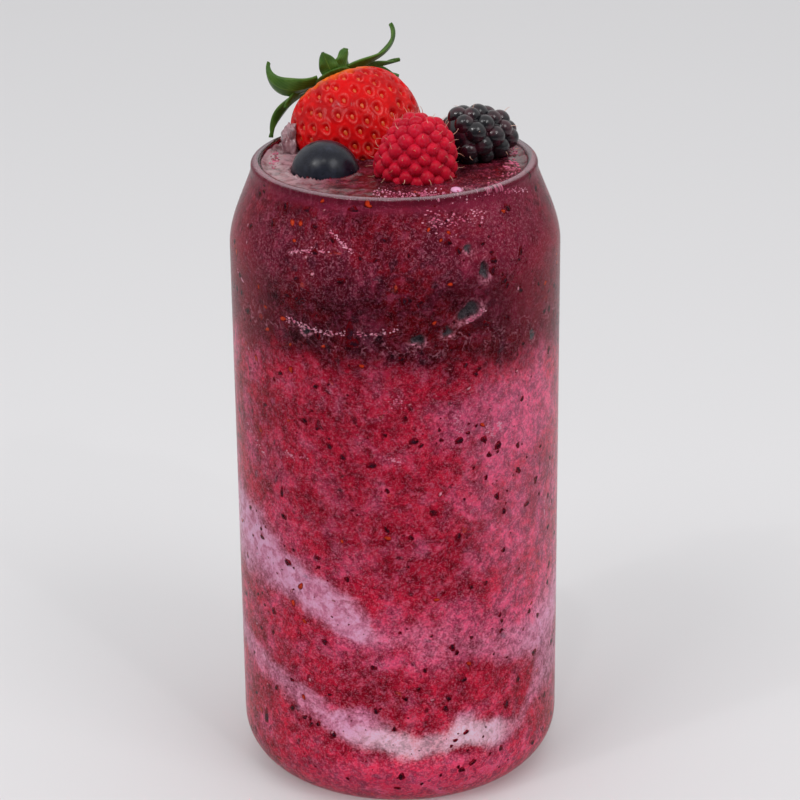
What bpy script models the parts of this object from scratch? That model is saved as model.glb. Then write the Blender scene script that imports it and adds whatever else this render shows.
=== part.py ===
"""Berry smoothie in a can-shaped glass, with a strawberry and three smaller berries on top.

Lengths are in metres and +Z is up. The origin is the centre of the glass's foot, on the
surface that it stands on. -Y is the front, the side that the garnish faces.
"""

import math

import bmesh
import bpy
from mathutils import Matrix, Vector, noise

COLLECTION_NAME = "berry_smoothie"
CUTTER_COLLECTION_NAME = "berry_smoothie_cutters"

# Clearance between pieces that touch
GAP = 0.0003
MERGE_DISTANCE = 0.00001
SCRAP_DISTANCE = 0.000002

# Glass
GLASS_HEIGHT = 0.1559
BODY_RADIUS = 0.0395
RIM_RADIUS = 0.0340
FOOT_RADIUS = 0.0283
PUNT_RADIUS = 0.0190
PUNT_DEPTH = 0.0012
PUNT_FLAT_SHARE = 0.62
WALL = 0.0027
FLOOR_THICKNESS = 0.0038
NECK_HEIGHT = 0.0026
SHOULDER_START = 0.1354
BASE_CORNER_HEIGHT = 0.0116
INNER_CORNER_HEIGHT = 0.0095
INNER_FLOOR_RADIUS = 0.0262
GLASS_SEGMENTS = 40
SHOULDER_STEPS = 6
SHOULDER_BEND = 0.9
CORNER_STEPS = 4
LIP_STEPS = 4

# Drink: a dark layer of whole berry pulp lies on the pink blend
LEVEL = GLASS_HEIGHT - 0.0015
LEVEL_RIPPLE = 0.00025
LEVEL_RINGS = 4
LEVEL_RIPPLE_LENGTH = 0.009
LAYER_HEIGHT = 0.1195
LAYER_SLOPE = -0.060
LAYER_WAVE = 0.0022
LAYER_WAVE_LENGTH = 0.030
LAYER_GRID = 9
LAYER_REACH = 0.16
LAYER_HALF_WIDTH = 0.051

# Hollows that the garnish leaves in the drink
HOLLOW_MARGIN = 0.0008
HOLLOW_SEGMENTS = 20
HOLLOW_RINGS = 11

# Strawberry, sunk tip first at the back left with its leaves turned away
STRAWBERRY_CENTRE = Vector((-0.0090, 0.0152, LEVEL + 0.0043))
STRAWBERRY_AXIS = Vector((-0.40, 0.54, 0.74)).normalized()
STRAWBERRY_WIDTH_RADIUS = 0.0156
STRAWBERRY_DEPTH_RADIUS = 0.0126
STRAWBERRY_SHOULDER = 0.0130
STRAWBERRY_NOSE = 0.0195
SHOULDER_SQUARENESS = 0.62
NOSE_SHARPNESS = 1.60
SEED_COLUMNS = 45
SEED_ROWS = 22
SEED_PIT_DEPTH = 0.00055
SEED_PIT_FADE_RADIUS = 0.006

# Strawberry leaves, fused to a small cap on the shoulder
CAP_RADIUS = 0.0048
CAP_HEIGHT = 0.0008
CAP_SEGMENTS = 16
SEPAL_THICKNESS = 0.0005
SEPAL_BASE_RADIUS = 0.0039
SEPAL_STEPS = 6
SEPAL_SPINE_STEPS = 24
SEPAL_TIP_SHARE = 0.05
SEPAL_CUP = 0.14
SEPAL_WAVE = 0.00035
SEPAL_WAVE_COUNT = 1.4
SEPAL_WAIST = 0.93
SEPAL_BELLY = 1.33
SEPAL_POINT = 0.9
# Each sepal: degrees round the cap from the left, length, width, degrees of rise, degrees of curl,
# how late the curl comes, and degrees of twist
SEPALS = (
    (4, 0.0178, 0.0062, -4, 140, 1.6, 50),
    (85, 0.0054, 0.0048, 50, 8, 2.0, 0),
    (148, 0.0050, 0.0068, 56, -8, 2.0, 0),
    (179, 0.0190, 0.0040, -4, 104, 2.4, 20),
    (195, 0.0142, 0.0034, -6, 6, 2.0, 10),
    (213, 0.0158, 0.0046, 2, -45, 2.4, 0),
    (250, 0.0125, 0.0052, 12, -75, 2.4, 0),
    (290, 0.0135, 0.0054, 12, -80, 2.4, 0),
    (328, 0.0192, 0.0052, 6, -66, 2.4, 0),
    (350, 0.0100, 0.0044, 4, -50, 2.4, 0),
)

# Blueberry, half sunk at the front left
BLUEBERRY_CENTRE = Vector((-0.0162, -0.0061, LEVEL - 0.0004))
BLUEBERRY_RADIUS = 0.0080
BLUEBERRY_SEGMENTS = 22
BLUEBERRY_RINGS = 12
BLUEBERRY_FLATNESS = 0.93
BLUEBERRY_TILT = math.radians(14)

# Raspberry, standing tip up at the front
RASPBERRY_CENTRE = Vector((0.0048, -0.0103, LEVEL + 0.0012))
RASPBERRY_AXIS = Vector((0.17, 0.05, 0.98)).normalized()
RASPBERRY_RADIUS = 0.0099
RASPBERRY_TIP_HEIGHT = 0.0136
RASPBERRY_BASE_DEPTH = 0.0050
RASPBERRY_TIP_BLUNTNESS = 0.85
RASPBERRY_BASE_BLUNTNESS = 0.60
RASPBERRY_DRUPELETS = 54
RASPBERRY_DRUPELET_RADIUS = 0.0020

# Dark berry, lying on the surface at the right with its tip to the back right
DARK_BERRY_CENTRE = Vector((0.0178, 0.0016, LEVEL + 0.0056))
DARK_BERRY_AXIS = Vector((0.80, 0.58, -0.12)).normalized()
DARK_BERRY_RADIUS = 0.0078
DARK_BERRY_TIP_LENGTH = 0.0132
DARK_BERRY_BASE_LENGTH = 0.0076
DARK_BERRY_TIP_BLUNTNESS = 0.80
DARK_BERRY_BASE_BLUNTNESS = 0.70
DARK_BERRY_DRUPELETS = 36
DARK_BERRY_DRUPELET_RADIUS = 0.0024

# Drupelets, the round beads that both of these berries are made of
GOLDEN_ANGLE = math.pi * (3.0 - math.sqrt(5.0))
DRUPELET_SEGMENTS = 6
DRUPELET_RINGS = 5
DRUPELET_COVER = 0.86
DRUPELET_VARIATION = 0.06
DRUPELET_VARIATION_STEP = 5.3
CORE_SEGMENTS = 12
CORE_RINGS = 6
CORE_INSET = 0.70


# Scene helpers

def clear_scene():
    """Remove what the scene holds, so that only this object is in it."""
    for item in list(bpy.data.objects):
        bpy.data.objects.remove(item, do_unlink=True)


def make_collection(name):
    collection = bpy.data.collections.new(name)
    bpy.context.scene.collection.children.link(collection)
    return collection


def make_material(name, colour, roughness, transmission=0.0):
    """Make a Principled material; colour is linear red, green and blue."""
    material = bpy.data.materials.new(name)
    material.use_nodes = True
    shader = material.node_tree.nodes["Principled BSDF"]
    shader.inputs["Base Color"].default_value = (*colour, 1.0)
    shader.inputs["Roughness"].default_value = roughness
    shader.inputs["Metallic"].default_value = 0.0
    shader.inputs["Transmission Weight"].default_value = transmission
    return material


def add_object(name, mesh, collection, material=None):
    item = bpy.data.objects.new(name, mesh)
    collection.objects.link(item)
    if material is not None:
        item.data.materials.append(material)
    return item


def mark_as_cutter(item):
    item.hide_render = True
    item.display_type = "WIRE"


def apply_modifiers(item):
    """Replace the object's mesh by its evaluated one."""
    graph = bpy.context.evaluated_depsgraph_get()
    mesh = bpy.data.meshes.new_from_object(item.evaluated_get(graph))
    item.modifiers.clear()
    item.data = mesh


def triangulate(mesh):
    shape = bmesh.new()
    shape.from_mesh(mesh)
    bmesh.ops.triangulate(shape, faces=shape.faces, quad_method="SHORT_EDGE")
    shape.to_mesh(mesh)
    shape.free()


def finish_mesh(name, shape):
    """Store a bmesh as a new mesh and free it."""
    mesh = bpy.data.meshes.new(name)
    shape.to_mesh(mesh)
    shape.free()
    return mesh


def smooth_shade(item, angle_degrees):
    item.data.shade_smooth()
    item.data.set_sharp_from_angle(angle=math.radians(angle_degrees))


def turned(name, profile, segments, collection, material=None):
    """Turn a profile of (radius, height) points into a solid with a Screw modifier."""
    points = [(radius, 0.0, height) for radius, height in profile]
    edges = [(index, index + 1) for index in range(len(points) - 1)]
    mesh = bpy.data.meshes.new(name)
    mesh.from_pydata(points, edges, [])
    item = add_object(name, mesh, collection, material)
    screw = item.modifiers.new("turn", "SCREW")
    screw.steps = segments
    screw.render_steps = segments
    screw.use_merge_vertices = True
    screw.merge_threshold = MERGE_DISTANCE
    apply_modifiers(item)
    return item


def cut(item, cutter, operation="DIFFERENCE"):
    modifier = item.modifiers.new(operation.lower(), "BOOLEAN")
    modifier.operation = operation
    modifier.object = cutter
    modifier.solver = "EXACT"
    apply_modifiers(item)


def fuse(item, pieces):
    """Join loose closed pieces to the item with one Boolean union, then remove them."""
    group = make_collection(item.name + "_pieces")
    for piece in pieces:
        for owner in list(piece.users_collection):
            owner.objects.unlink(piece)
        group.objects.link(piece)
    modifier = item.modifiers.new("fuse", "BOOLEAN")
    modifier.operation = "UNION"
    modifier.operand_type = "COLLECTION"
    modifier.collection = group
    modifier.solver = "MANIFOLD"
    apply_modifiers(item)
    for piece in pieces:
        bpy.data.objects.remove(piece, do_unlink=True)
    bpy.data.collections.remove(group)


def keep_largest_body(item):
    """Drop the loose scraps that a Boolean can leave."""
    shape = bmesh.new()
    shape.from_mesh(item.data)
    left = set(shape.verts)
    bodies = []
    while left:
        front = [left.pop()]
        body = set(front)
        while front:
            vertex = front.pop()
            for edge in vertex.link_edges:
                other = edge.other_vert(vertex)
                if other in left:
                    left.remove(other)
                    body.add(other)
                    front.append(other)
        bodies.append(body)
    bodies.sort(key=len)
    for body in bodies[:-1]:
        bmesh.ops.delete(shape, geom=list(body), context="VERTS")
    bmesh.ops.dissolve_degenerate(shape, dist=SCRAP_DISTANCE, edges=shape.edges)
    shape.to_mesh(item.data)
    shape.free()


# Curves that the shapes follow

def corner(inner_radius, outer_radius, height):
    """Points of a rounded corner, from the flat floor at height 0 out and up to the wall."""
    points = []
    for step in range(CORNER_STEPS + 1):
        angle = 0.5 * math.pi * step / CORNER_STEPS
        radius = inner_radius + (outer_radius - inner_radius) * math.sin(angle)
        points.append((radius, height * (1.0 - math.cos(angle))))
    return points


def shoulder_radius(height):
    """Outer radius of the glass above its body, from the shoulder to the neck."""
    span = GLASS_HEIGHT - NECK_HEIGHT - SHOULDER_START
    share = min(max((height - SHOULDER_START) / span, 0.0), 1.0)
    return BODY_RADIUS + (RIM_RADIUS - BODY_RADIUS) * share * share * (1.0 + SHOULDER_BEND * (1.0 - share))


def shoulder_heights():
    top = GLASS_HEIGHT - NECK_HEIGHT
    return [SHOULDER_START + (top - SHOULDER_START) * step / SHOULDER_STEPS
            for step in range(SHOULDER_STEPS + 1)]


def inner_profile(clearance):
    """Points of the inside of the glass, from the middle of its floor up to the neck."""
    wall = WALL + clearance
    floor = FLOOR_THICKNESS + clearance
    points = [(0.0, floor)]
    for radius, height in corner(INNER_FLOOR_RADIUS, BODY_RADIUS - wall, INNER_CORNER_HEIGHT):
        points.append((radius, floor + height))
    for height in shoulder_heights():
        points.append((shoulder_radius(height) - wall, height))
    return points


def even_points(outline, count):
    """Points at even steps along an outline, a function of a share from 0 to 1."""
    samples = [Vector(outline(index / 400.0)) for index in range(401)]
    lengths = [0.0]
    for before, after in zip(samples, samples[1:]):
        lengths.append(lengths[-1] + (after - before).length)
    points = []
    index = 0
    for step in range(count):
        target = lengths[-1] * step / (count - 1)
        while index < 399 and lengths[index + 1] < target:
            index += 1
        span = lengths[index + 1] - lengths[index]
        points.append(samples[index].lerp(samples[index + 1], (target - lengths[index]) / span))
    return points


def berry_outline(radius, tip_length, base_length, tip_power, base_power):
    """Outline of a turned berry: (radius, distance along its axis), from its tip to its base."""
    def outline(share):
        angle = math.pi * share
        sine = math.sin(angle)
        cosine = math.cos(angle)
        if cosine > 0.0:
            return radius * sine ** tip_power, tip_length * cosine
        return radius * max(sine, 0.0) ** base_power, base_length * cosine
    return outline


def frame_along(axis):
    """Rotation whose Z is the axis and whose X points as far left as it can."""
    side = Vector((-1.0, 0.0, 0.0))
    side = (side - axis * side.dot(axis)).normalized()
    return Matrix((side, axis.cross(side), axis)).transposed()


# Glass and drink

def make_glass(collection):
    material = make_material("glass_clear", (0.95, 0.96, 0.97), 0.02, transmission=1.0)
    profile = inner_profile(0.0)
    lip = 0.5 * WALL
    for step in range(LIP_STEPS + 1):
        angle = math.pi * step / LIP_STEPS
        radius = RIM_RADIUS - lip - lip * math.cos(angle)
        profile.append((radius, GLASS_HEIGHT - lip + lip * math.sin(angle)))
    for height in reversed(shoulder_heights()):
        profile.append((shoulder_radius(height), height))
    for radius, height in reversed(corner(FOOT_RADIUS, BODY_RADIUS, BASE_CORNER_HEIGHT)):
        profile.append((radius, height))
    profile.append((PUNT_RADIUS, 0.0))
    profile.append((PUNT_FLAT_SHARE * PUNT_RADIUS, PUNT_DEPTH))
    profile.append((0.0, PUNT_DEPTH))
    glass = turned("glass", profile, GLASS_SEGMENTS, collection, material)
    smooth_shade(glass, 40)


def ripple_level(item):
    """Lift and lower the inner points of the drink's flat top."""
    for vertex in item.data.vertices:
        reach = math.hypot(vertex.co.x, vertex.co.y)
        if vertex.co.z > LEVEL - 0.0001 and reach < RIM_RADIUS - WALL - 0.001:
            vertex.co.z += LEVEL_RIPPLE * noise.noise(vertex.co / LEVEL_RIPPLE_LENGTH)


def layer_block(name, offset, height, collection):
    """A block whose lower face, or whose upper face if the height is negative, is the layer's wave."""
    shape = bmesh.new()
    bmesh.ops.create_grid(shape, x_segments=LAYER_GRID, y_segments=LAYER_GRID,
                          size=LAYER_HALF_WIDTH)
    for vertex in shape.verts:
        place = Vector((vertex.co.x, vertex.co.y, 0.0)) / LAYER_WAVE_LENGTH
        wave = LAYER_WAVE * noise.noise(place) + LAYER_SLOPE * vertex.co.x
        vertex.co.z = LAYER_HEIGHT + offset + wave
    mesh = finish_mesh(name, shape)
    triangulate(mesh)
    block = add_object(name, mesh, collection)
    shell = block.modifiers.new("thicken", "SOLIDIFY")
    shell.thickness = abs(height)
    shell.offset = 1.0 if height > 0.0 else -1.0
    apply_modifiers(block)
    mark_as_cutter(block)
    return block


def make_drink(collection, cutters, hollows):
    """Turn the drink to fit the glass, split it at the layer and cut the garnish's hollows."""
    lower_material = make_material("smoothie_pink", (0.42, 0.03, 0.10), 0.35)
    top_material = make_material("smoothie_dark", (0.12, 0.01, 0.03), 0.35)
    wall = WALL + GAP
    side = [point for point in inner_profile(GAP) if point[1] < LEVEL - GAP]
    rim = shoulder_radius(LEVEL) - wall
    profile = [(rim * ring / LEVEL_RINGS, LEVEL) for ring in range(LEVEL_RINGS + 1)]
    profile.extend(reversed(side))

    lower = turned("smoothie_lower", profile, GLASS_SEGMENTS, collection, lower_material)
    cut(lower, layer_block("below_layer", -0.5 * GAP, -LAYER_REACH, cutters), "INTERSECT")

    top = turned("smoothie_top", profile, GLASS_SEGMENTS, collection, top_material)
    ripple_level(top)
    cut(top, layer_block("above_layer", 0.5 * GAP, LAYER_REACH, cutters), "INTERSECT")
    for hollow in hollows:
        cut(top, hollow)
    for drink in (lower, top):
        keep_largest_body(drink)
        smooth_shade(drink, 40)


# Berries

def berry_hollow(name, outline, centre, axis, stretch, collection):
    """A smooth closed berry for cutting the drink, stretched in width and depth."""
    item = turned(name, outline_profile(outline, HOLLOW_RINGS), HOLLOW_SEGMENTS, collection)
    place_berry(item, centre, axis, stretch)
    mark_as_cutter(item)
    return item


def outline_profile(outline, count):
    """Points at even steps from the top of a berry's outline down, as a turned profile needs them."""
    return [(point.x, point.y) for point in even_points(outline, count)]


def place_berry(item, centre, axis, stretch=(1.0, 1.0, 1.0)):
    scale = Matrix.Diagonal(Vector((*stretch, 1.0)))
    item.data.transform(frame_along(axis).to_4x4() @ scale)
    item.location = centre


def strawberry_outline(margin):
    """Outline from the middle of the shoulder to the nose, grown by a margin."""
    return berry_outline(STRAWBERRY_WIDTH_RADIUS + margin, STRAWBERRY_SHOULDER + margin,
                         STRAWBERRY_NOSE + margin, SHOULDER_SQUARENESS, NOSE_SHARPNESS)


def strawberry_stretch():
    return (1.0, STRAWBERRY_DEPTH_RADIUS / STRAWBERRY_WIDTH_RADIUS, 1.0)


def make_strawberry(collection):
    """A pitted berry: its points form a triangle lattice, and every third one is a seed pit."""
    material = make_material("strawberry_red", (0.62, 0.012, 0.010), 0.25)
    rings = even_points(strawberry_outline(0.0), SEED_ROWS + 1)
    shape = bmesh.new()
    bmesh.ops.create_uvsphere(shape, u_segments=SEED_COLUMNS, v_segments=SEED_ROWS, radius=1.0)
    step = 2.0 * math.pi / SEED_COLUMNS
    for vertex in shape.verts:
        row = round(math.acos(max(-1.0, min(1.0, vertex.co.z))) / math.pi * SEED_ROWS)
        ring = rings[row]
        if row in (0, SEED_ROWS):
            vertex.co = Vector((0.0, 0.0, ring.y))
            continue
        column = round(math.atan2(vertex.co.y, vertex.co.x) / step)
        is_pit = (column - row) % 3 == 0 and 2 < row < SEED_ROWS - 1
        sink = SEED_PIT_DEPTH * min(1.0, ring.x / SEED_PIT_FADE_RADIUS) if is_pit else 0.0
        angle = (column + 0.5 * row) * step
        outward = Vector((math.cos(angle), math.sin(angle), 0.0))
        vertex.co = outward * (ring.x - sink) + Vector((0.0, 0.0, ring.y))
    bmesh.ops.triangulate(shape, faces=shape.faces, quad_method="SHORT_EDGE")
    item = add_object("strawberry", finish_mesh("strawberry", shape), collection, material)
    place_berry(item, STRAWBERRY_CENTRE, STRAWBERRY_AXIS, strawberry_stretch())
    smooth_shade(item, 15)


def sepal_point(sepal, along, across):
    """A point of a sepal, in the cap's frame: along is 0 to 1 and across is -1 to 1."""
    azimuth, length, width, rise, curl, lateness, twist = sepal
    place = Vector((SEPAL_BASE_RADIUS, 0.0, 0.0))
    for step in range(SEPAL_SPINE_STEPS):
        share = (step + 0.5) / SEPAL_SPINE_STEPS
        if share > along:
            break
        lift = math.radians(rise + curl * share ** lateness)
        place += Vector((math.cos(lift), 0.0, math.sin(lift))) * (length / SEPAL_SPINE_STEPS)
    lift = math.radians(rise + curl * along ** lateness)
    taper = (SEPAL_WAIST + SEPAL_BELLY * along) * max(1.0 - along, 0.0) ** SEPAL_POINT
    half_width = 0.5 * width * max(taper, SEPAL_TIP_SHARE)
    heading = Vector((math.cos(lift), 0.0, math.sin(lift)))
    roll = Matrix.Rotation(math.radians(twist * along), 3, heading)
    cup = SEPAL_CUP * width * across * across
    wave = SEPAL_WAVE * across * math.sin(2.0 * math.pi * SEPAL_WAVE_COUNT * along + azimuth)
    up = Vector((-math.sin(lift), 0.0, math.cos(lift)))
    place += roll @ (Vector((0.0, across * half_width, 0.0)) + up * (cup + wave))
    return Matrix.Rotation(math.radians(azimuth), 3, "Z") @ place


def make_sepal(name, sepal, collection):
    """A thin wavy leaf, solid, with both faces split into the same triangles."""
    shape = bmesh.new()
    bmesh.ops.create_grid(shape, x_segments=SEPAL_STEPS, y_segments=2, size=1.0)
    for vertex in shape.verts:
        vertex.co = sepal_point(sepal, 0.5 * (vertex.co.x + 1.0), vertex.co.y)
    mesh = finish_mesh(name, shape)
    triangulate(mesh)
    item = add_object(name, mesh, collection)
    shell = item.modifiers.new("thicken", "SOLIDIFY")
    shell.thickness = SEPAL_THICKNESS
    shell.offset = 1.0
    apply_modifiers(item)
    return item


def make_calyx(collection):
    """The leaf cap: a low dome with its sepals fused on."""
    material = make_material("leaf_green", (0.045, 0.13, 0.015), 0.45)
    shape = bmesh.new()
    bmesh.ops.create_uvsphere(shape, u_segments=CAP_SEGMENTS, v_segments=4, radius=1.0)
    bmesh.ops.scale(shape, verts=shape.verts, vec=(CAP_RADIUS, CAP_RADIUS, CAP_HEIGHT))
    cap = add_object("strawberry_calyx", finish_mesh("strawberry_calyx", shape), collection, material)
    pieces = [make_sepal(f"sepal_{index}", sepal, collection)
              for index, sepal in enumerate(SEPALS)]
    fuse(cap, pieces)
    keep_largest_body(cap)
    lift = STRAWBERRY_SHOULDER + CAP_HEIGHT + GAP
    place_berry(cap, STRAWBERRY_CENTRE + STRAWBERRY_AXIS * lift, STRAWBERRY_AXIS)
    smooth_shade(cap, 50)


def spiral_on(outline, count):
    """Points in a spiral at even steps of area from an outline's tip, each with its outward direction."""
    fine = even_points(outline, 200)
    areas = [0.0]
    for before, after in zip(fine, fine[1:]):
        areas.append(areas[-1] + (before.x + after.x) * (after - before).length)
    found = []
    index = 0
    for step in range(count):
        target = DRUPELET_COVER * areas[-1] * (step + 0.5) / count
        while areas[index + 1] < target:
            index += 1
        along = (fine[index + 1] - fine[index]).normalized()
        angle = step * GOLDEN_ANGLE
        ring = Vector((math.cos(angle), math.sin(angle), 0.0))
        place = ring * fine[index].x + Vector((0.0, 0.0, fine[index].y))
        outward = ring * -along.y + Vector((0.0, 0.0, along.x))
        found.append((place, outward.normalized()))
    return found


def make_drupelet_berry(name, outline, core_outline, count, size, material, collection):
    """A core with round drupelets fused on, in a spiral from its tip to its base."""
    core = turned(name, outline_profile(core_outline, CORE_RINGS), CORE_SEGMENTS, collection, material)
    pieces = []
    for index, (place, outward) in enumerate(spiral_on(outline, count)):
        variation = 1.0 + DRUPELET_VARIATION * math.sin(DRUPELET_VARIATION_STEP * index)
        shape = bmesh.new()
        bmesh.ops.create_uvsphere(shape, u_segments=DRUPELET_SEGMENTS, v_segments=DRUPELET_RINGS,
                                  radius=size * variation)
        turn = outward.to_track_quat("Z", "Y").to_matrix().to_4x4()
        bmesh.ops.transform(shape, verts=shape.verts,
                            matrix=Matrix.Translation(place - outward * size) @ turn)
        mesh = finish_mesh(f"{name}_drupelet_{index}", shape)
        pieces.append(add_object(mesh.name, mesh, collection))
    fuse(core, pieces)
    keep_largest_body(core)
    return core


def raspberry_outline(margin):
    return berry_outline(RASPBERRY_RADIUS + margin, RASPBERRY_TIP_HEIGHT + margin,
                         RASPBERRY_BASE_DEPTH + margin, RASPBERRY_TIP_BLUNTNESS,
                         RASPBERRY_BASE_BLUNTNESS)


def make_raspberry(collection):
    material = make_material("raspberry_pink", (0.45, 0.012, 0.045), 0.4)
    berry = make_drupelet_berry("raspberry", raspberry_outline(0.0),
                                raspberry_outline(-CORE_INSET * RASPBERRY_DRUPELET_RADIUS),
                                RASPBERRY_DRUPELETS, RASPBERRY_DRUPELET_RADIUS, material, collection)
    place_berry(berry, RASPBERRY_CENTRE, RASPBERRY_AXIS)
    smooth_shade(berry, 35)


def dark_berry_outline(margin):
    return berry_outline(DARK_BERRY_RADIUS + margin, DARK_BERRY_TIP_LENGTH + margin,
                         DARK_BERRY_BASE_LENGTH + margin, DARK_BERRY_TIP_BLUNTNESS,
                         DARK_BERRY_BASE_BLUNTNESS)


def make_dark_berry(collection):
    material = make_material("dark_berry_black", (0.012, 0.008, 0.014), 0.2)
    berry = make_drupelet_berry("dark_berry", dark_berry_outline(0.0),
                                dark_berry_outline(-CORE_INSET * DARK_BERRY_DRUPELET_RADIUS),
                                DARK_BERRY_DRUPELETS, DARK_BERRY_DRUPELET_RADIUS, material, collection)
    place_berry(berry, DARK_BERRY_CENTRE, DARK_BERRY_AXIS)
    smooth_shade(berry, 35)


def blueberry_sphere(name, margin, collection, material=None):
    shape = bmesh.new()
    bmesh.ops.create_uvsphere(shape, u_segments=BLUEBERRY_SEGMENTS, v_segments=BLUEBERRY_RINGS,
                              radius=BLUEBERRY_RADIUS + margin)
    bmesh.ops.scale(shape, verts=shape.verts, vec=(1.0, 1.0, BLUEBERRY_FLATNESS))
    item = add_object(name, finish_mesh(name, shape), collection, material)
    item.rotation_euler = (BLUEBERRY_TILT, 0.0, 0.0)
    item.location = BLUEBERRY_CENTRE
    return item


def make_blueberry(collection):
    material = make_material("blueberry_blue", (0.012, 0.016, 0.035), 0.3)
    blueberry_sphere("blueberry", 0.0, collection, material).data.shade_smooth()


def garnish_hollows(cutters):
    """Smooth solids, a gap larger than each berry, that cut the drink."""
    hollows = [
        berry_hollow("strawberry_hollow", strawberry_outline(HOLLOW_MARGIN), STRAWBERRY_CENTRE,
                     STRAWBERRY_AXIS, strawberry_stretch(), cutters),
        berry_hollow("raspberry_hollow", raspberry_outline(HOLLOW_MARGIN), RASPBERRY_CENTRE,
                     RASPBERRY_AXIS, (1.0, 1.0, 1.0), cutters),
        berry_hollow("dark_berry_hollow", dark_berry_outline(HOLLOW_MARGIN), DARK_BERRY_CENTRE,
                     DARK_BERRY_AXIS, (1.0, 1.0, 1.0), cutters),
    ]
    blueberry_hollow = blueberry_sphere("blueberry_hollow", GAP, cutters)
    mark_as_cutter(blueberry_hollow)
    hollows.append(blueberry_hollow)
    return hollows


def main():
    clear_scene()
    collection = make_collection(COLLECTION_NAME)
    cutters = make_collection(CUTTER_COLLECTION_NAME)
    make_glass(collection)
    make_drink(collection, cutters, garnish_hollows(cutters))
    make_strawberry(collection)
    make_calyx(collection)
    make_raspberry(collection)
    make_dark_berry(collection)
    make_blueberry(collection)


main()
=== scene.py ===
"""Berry smoothie in a can-shaped glass: the glass, the layered drink and the fruit on top.

Every piece stands where the packed model has it. Sizes are in metres, and -Y is the front.
"""

import math
import random

import bmesh
import bpy
import numpy as np
from bpy.props import FloatProperty, FloatVectorProperty, IntProperty, PointerProperty
from mathutils import Matrix, Vector, noise
from mathutils.bvhtree import BVHTree
from mathutils.kdtree import KDTree


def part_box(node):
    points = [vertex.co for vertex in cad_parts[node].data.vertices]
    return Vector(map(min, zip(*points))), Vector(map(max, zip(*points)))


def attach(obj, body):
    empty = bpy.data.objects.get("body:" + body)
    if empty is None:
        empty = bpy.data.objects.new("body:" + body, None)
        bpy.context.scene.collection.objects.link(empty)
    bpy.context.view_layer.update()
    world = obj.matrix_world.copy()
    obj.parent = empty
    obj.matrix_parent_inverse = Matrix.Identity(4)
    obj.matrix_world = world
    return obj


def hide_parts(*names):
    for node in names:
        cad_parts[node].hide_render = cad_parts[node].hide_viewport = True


bl_info = {
    "name": "Berry Smoothie in a Glass",
    "version": (1, 0, 0),
    "blender": (4, 5, 0),
    "location": "3D View > Sidebar > Smoothie",
    "description": "Dresses a packed glass of layered berry smoothie and its fruit garnish",
    "category": "Object",
}

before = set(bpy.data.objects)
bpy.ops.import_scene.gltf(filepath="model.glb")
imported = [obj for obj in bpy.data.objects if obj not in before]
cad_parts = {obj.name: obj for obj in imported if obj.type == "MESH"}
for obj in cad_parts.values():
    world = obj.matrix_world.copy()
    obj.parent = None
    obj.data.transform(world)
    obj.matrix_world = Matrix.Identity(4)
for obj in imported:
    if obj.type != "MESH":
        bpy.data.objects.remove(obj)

GLASS_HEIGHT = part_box("glass")[1].z
BODY_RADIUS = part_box("glass")[1].x
GOLDEN_ANGLE = math.pi * (3.0 - math.sqrt(5.0))


# Settings

def length(name, description, default):
    return FloatProperty(name=name, description=description, default=default, unit="LENGTH",
                         precision=5, step=0.01)


def share(name, description, default):
    return FloatProperty(name=name, description=description, default=default, subtype="FACTOR",
                         min=0.0, max=4.0)


def colour(name, description, default):
    return FloatVectorProperty(name=name, description=description, default=default,
                               subtype="COLOR", size=3, min=0.0, max=1.0)


def number(name, description, default):
    return IntProperty(name=name, description=description, default=default, min=0)


class GlassSettings(bpy.types.PropertyGroup):
    """Sizes and tint of the glass."""

    rim_radius: length("Rim radius", "Outer radius at the rim", 0.0340)
    foot_radius: length("Foot radius", "Radius where the rounded base starts", 0.0283)
    punt_radius: length("Punt radius", "Radius of the hollow under the foot", 0.0190)
    punt_depth: length("Punt depth", "Depth of the hollow under the foot", 0.0012)
    wall: length("Wall", "Thickness of the wall", 0.0027)
    floor: length("Floor", "Thickness of the floor", 0.0038)
    inner_floor_radius: length("Inner floor radius", "Radius of the flat inside", 0.0262)
    base_corner: length("Base corner", "Height of the rounded base", 0.0116)
    inner_corner: length("Inner corner", "Height of the rounded inside corner", 0.0095)
    shoulder_start: length("Shoulder start", "Height where the shoulder starts", 0.1354)
    neck: length("Neck", "Height of the straight neck under the rim", 0.0026)
    shoulder_bend: share("Shoulder bend", "How early the shoulder turns in", 0.9)
    sides: number("Sides", "Faces round the glass", 192)
    tint: colour("Tint", "Colour of light that passes", (0.985, 0.99, 0.99))
    glint: share("Lip glint", "How strongly the polished lip mirrors what is above it", 0.27)
    calm: share("Calm", "Share of the glass that mirrors nothing of the room", 0.50)


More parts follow.
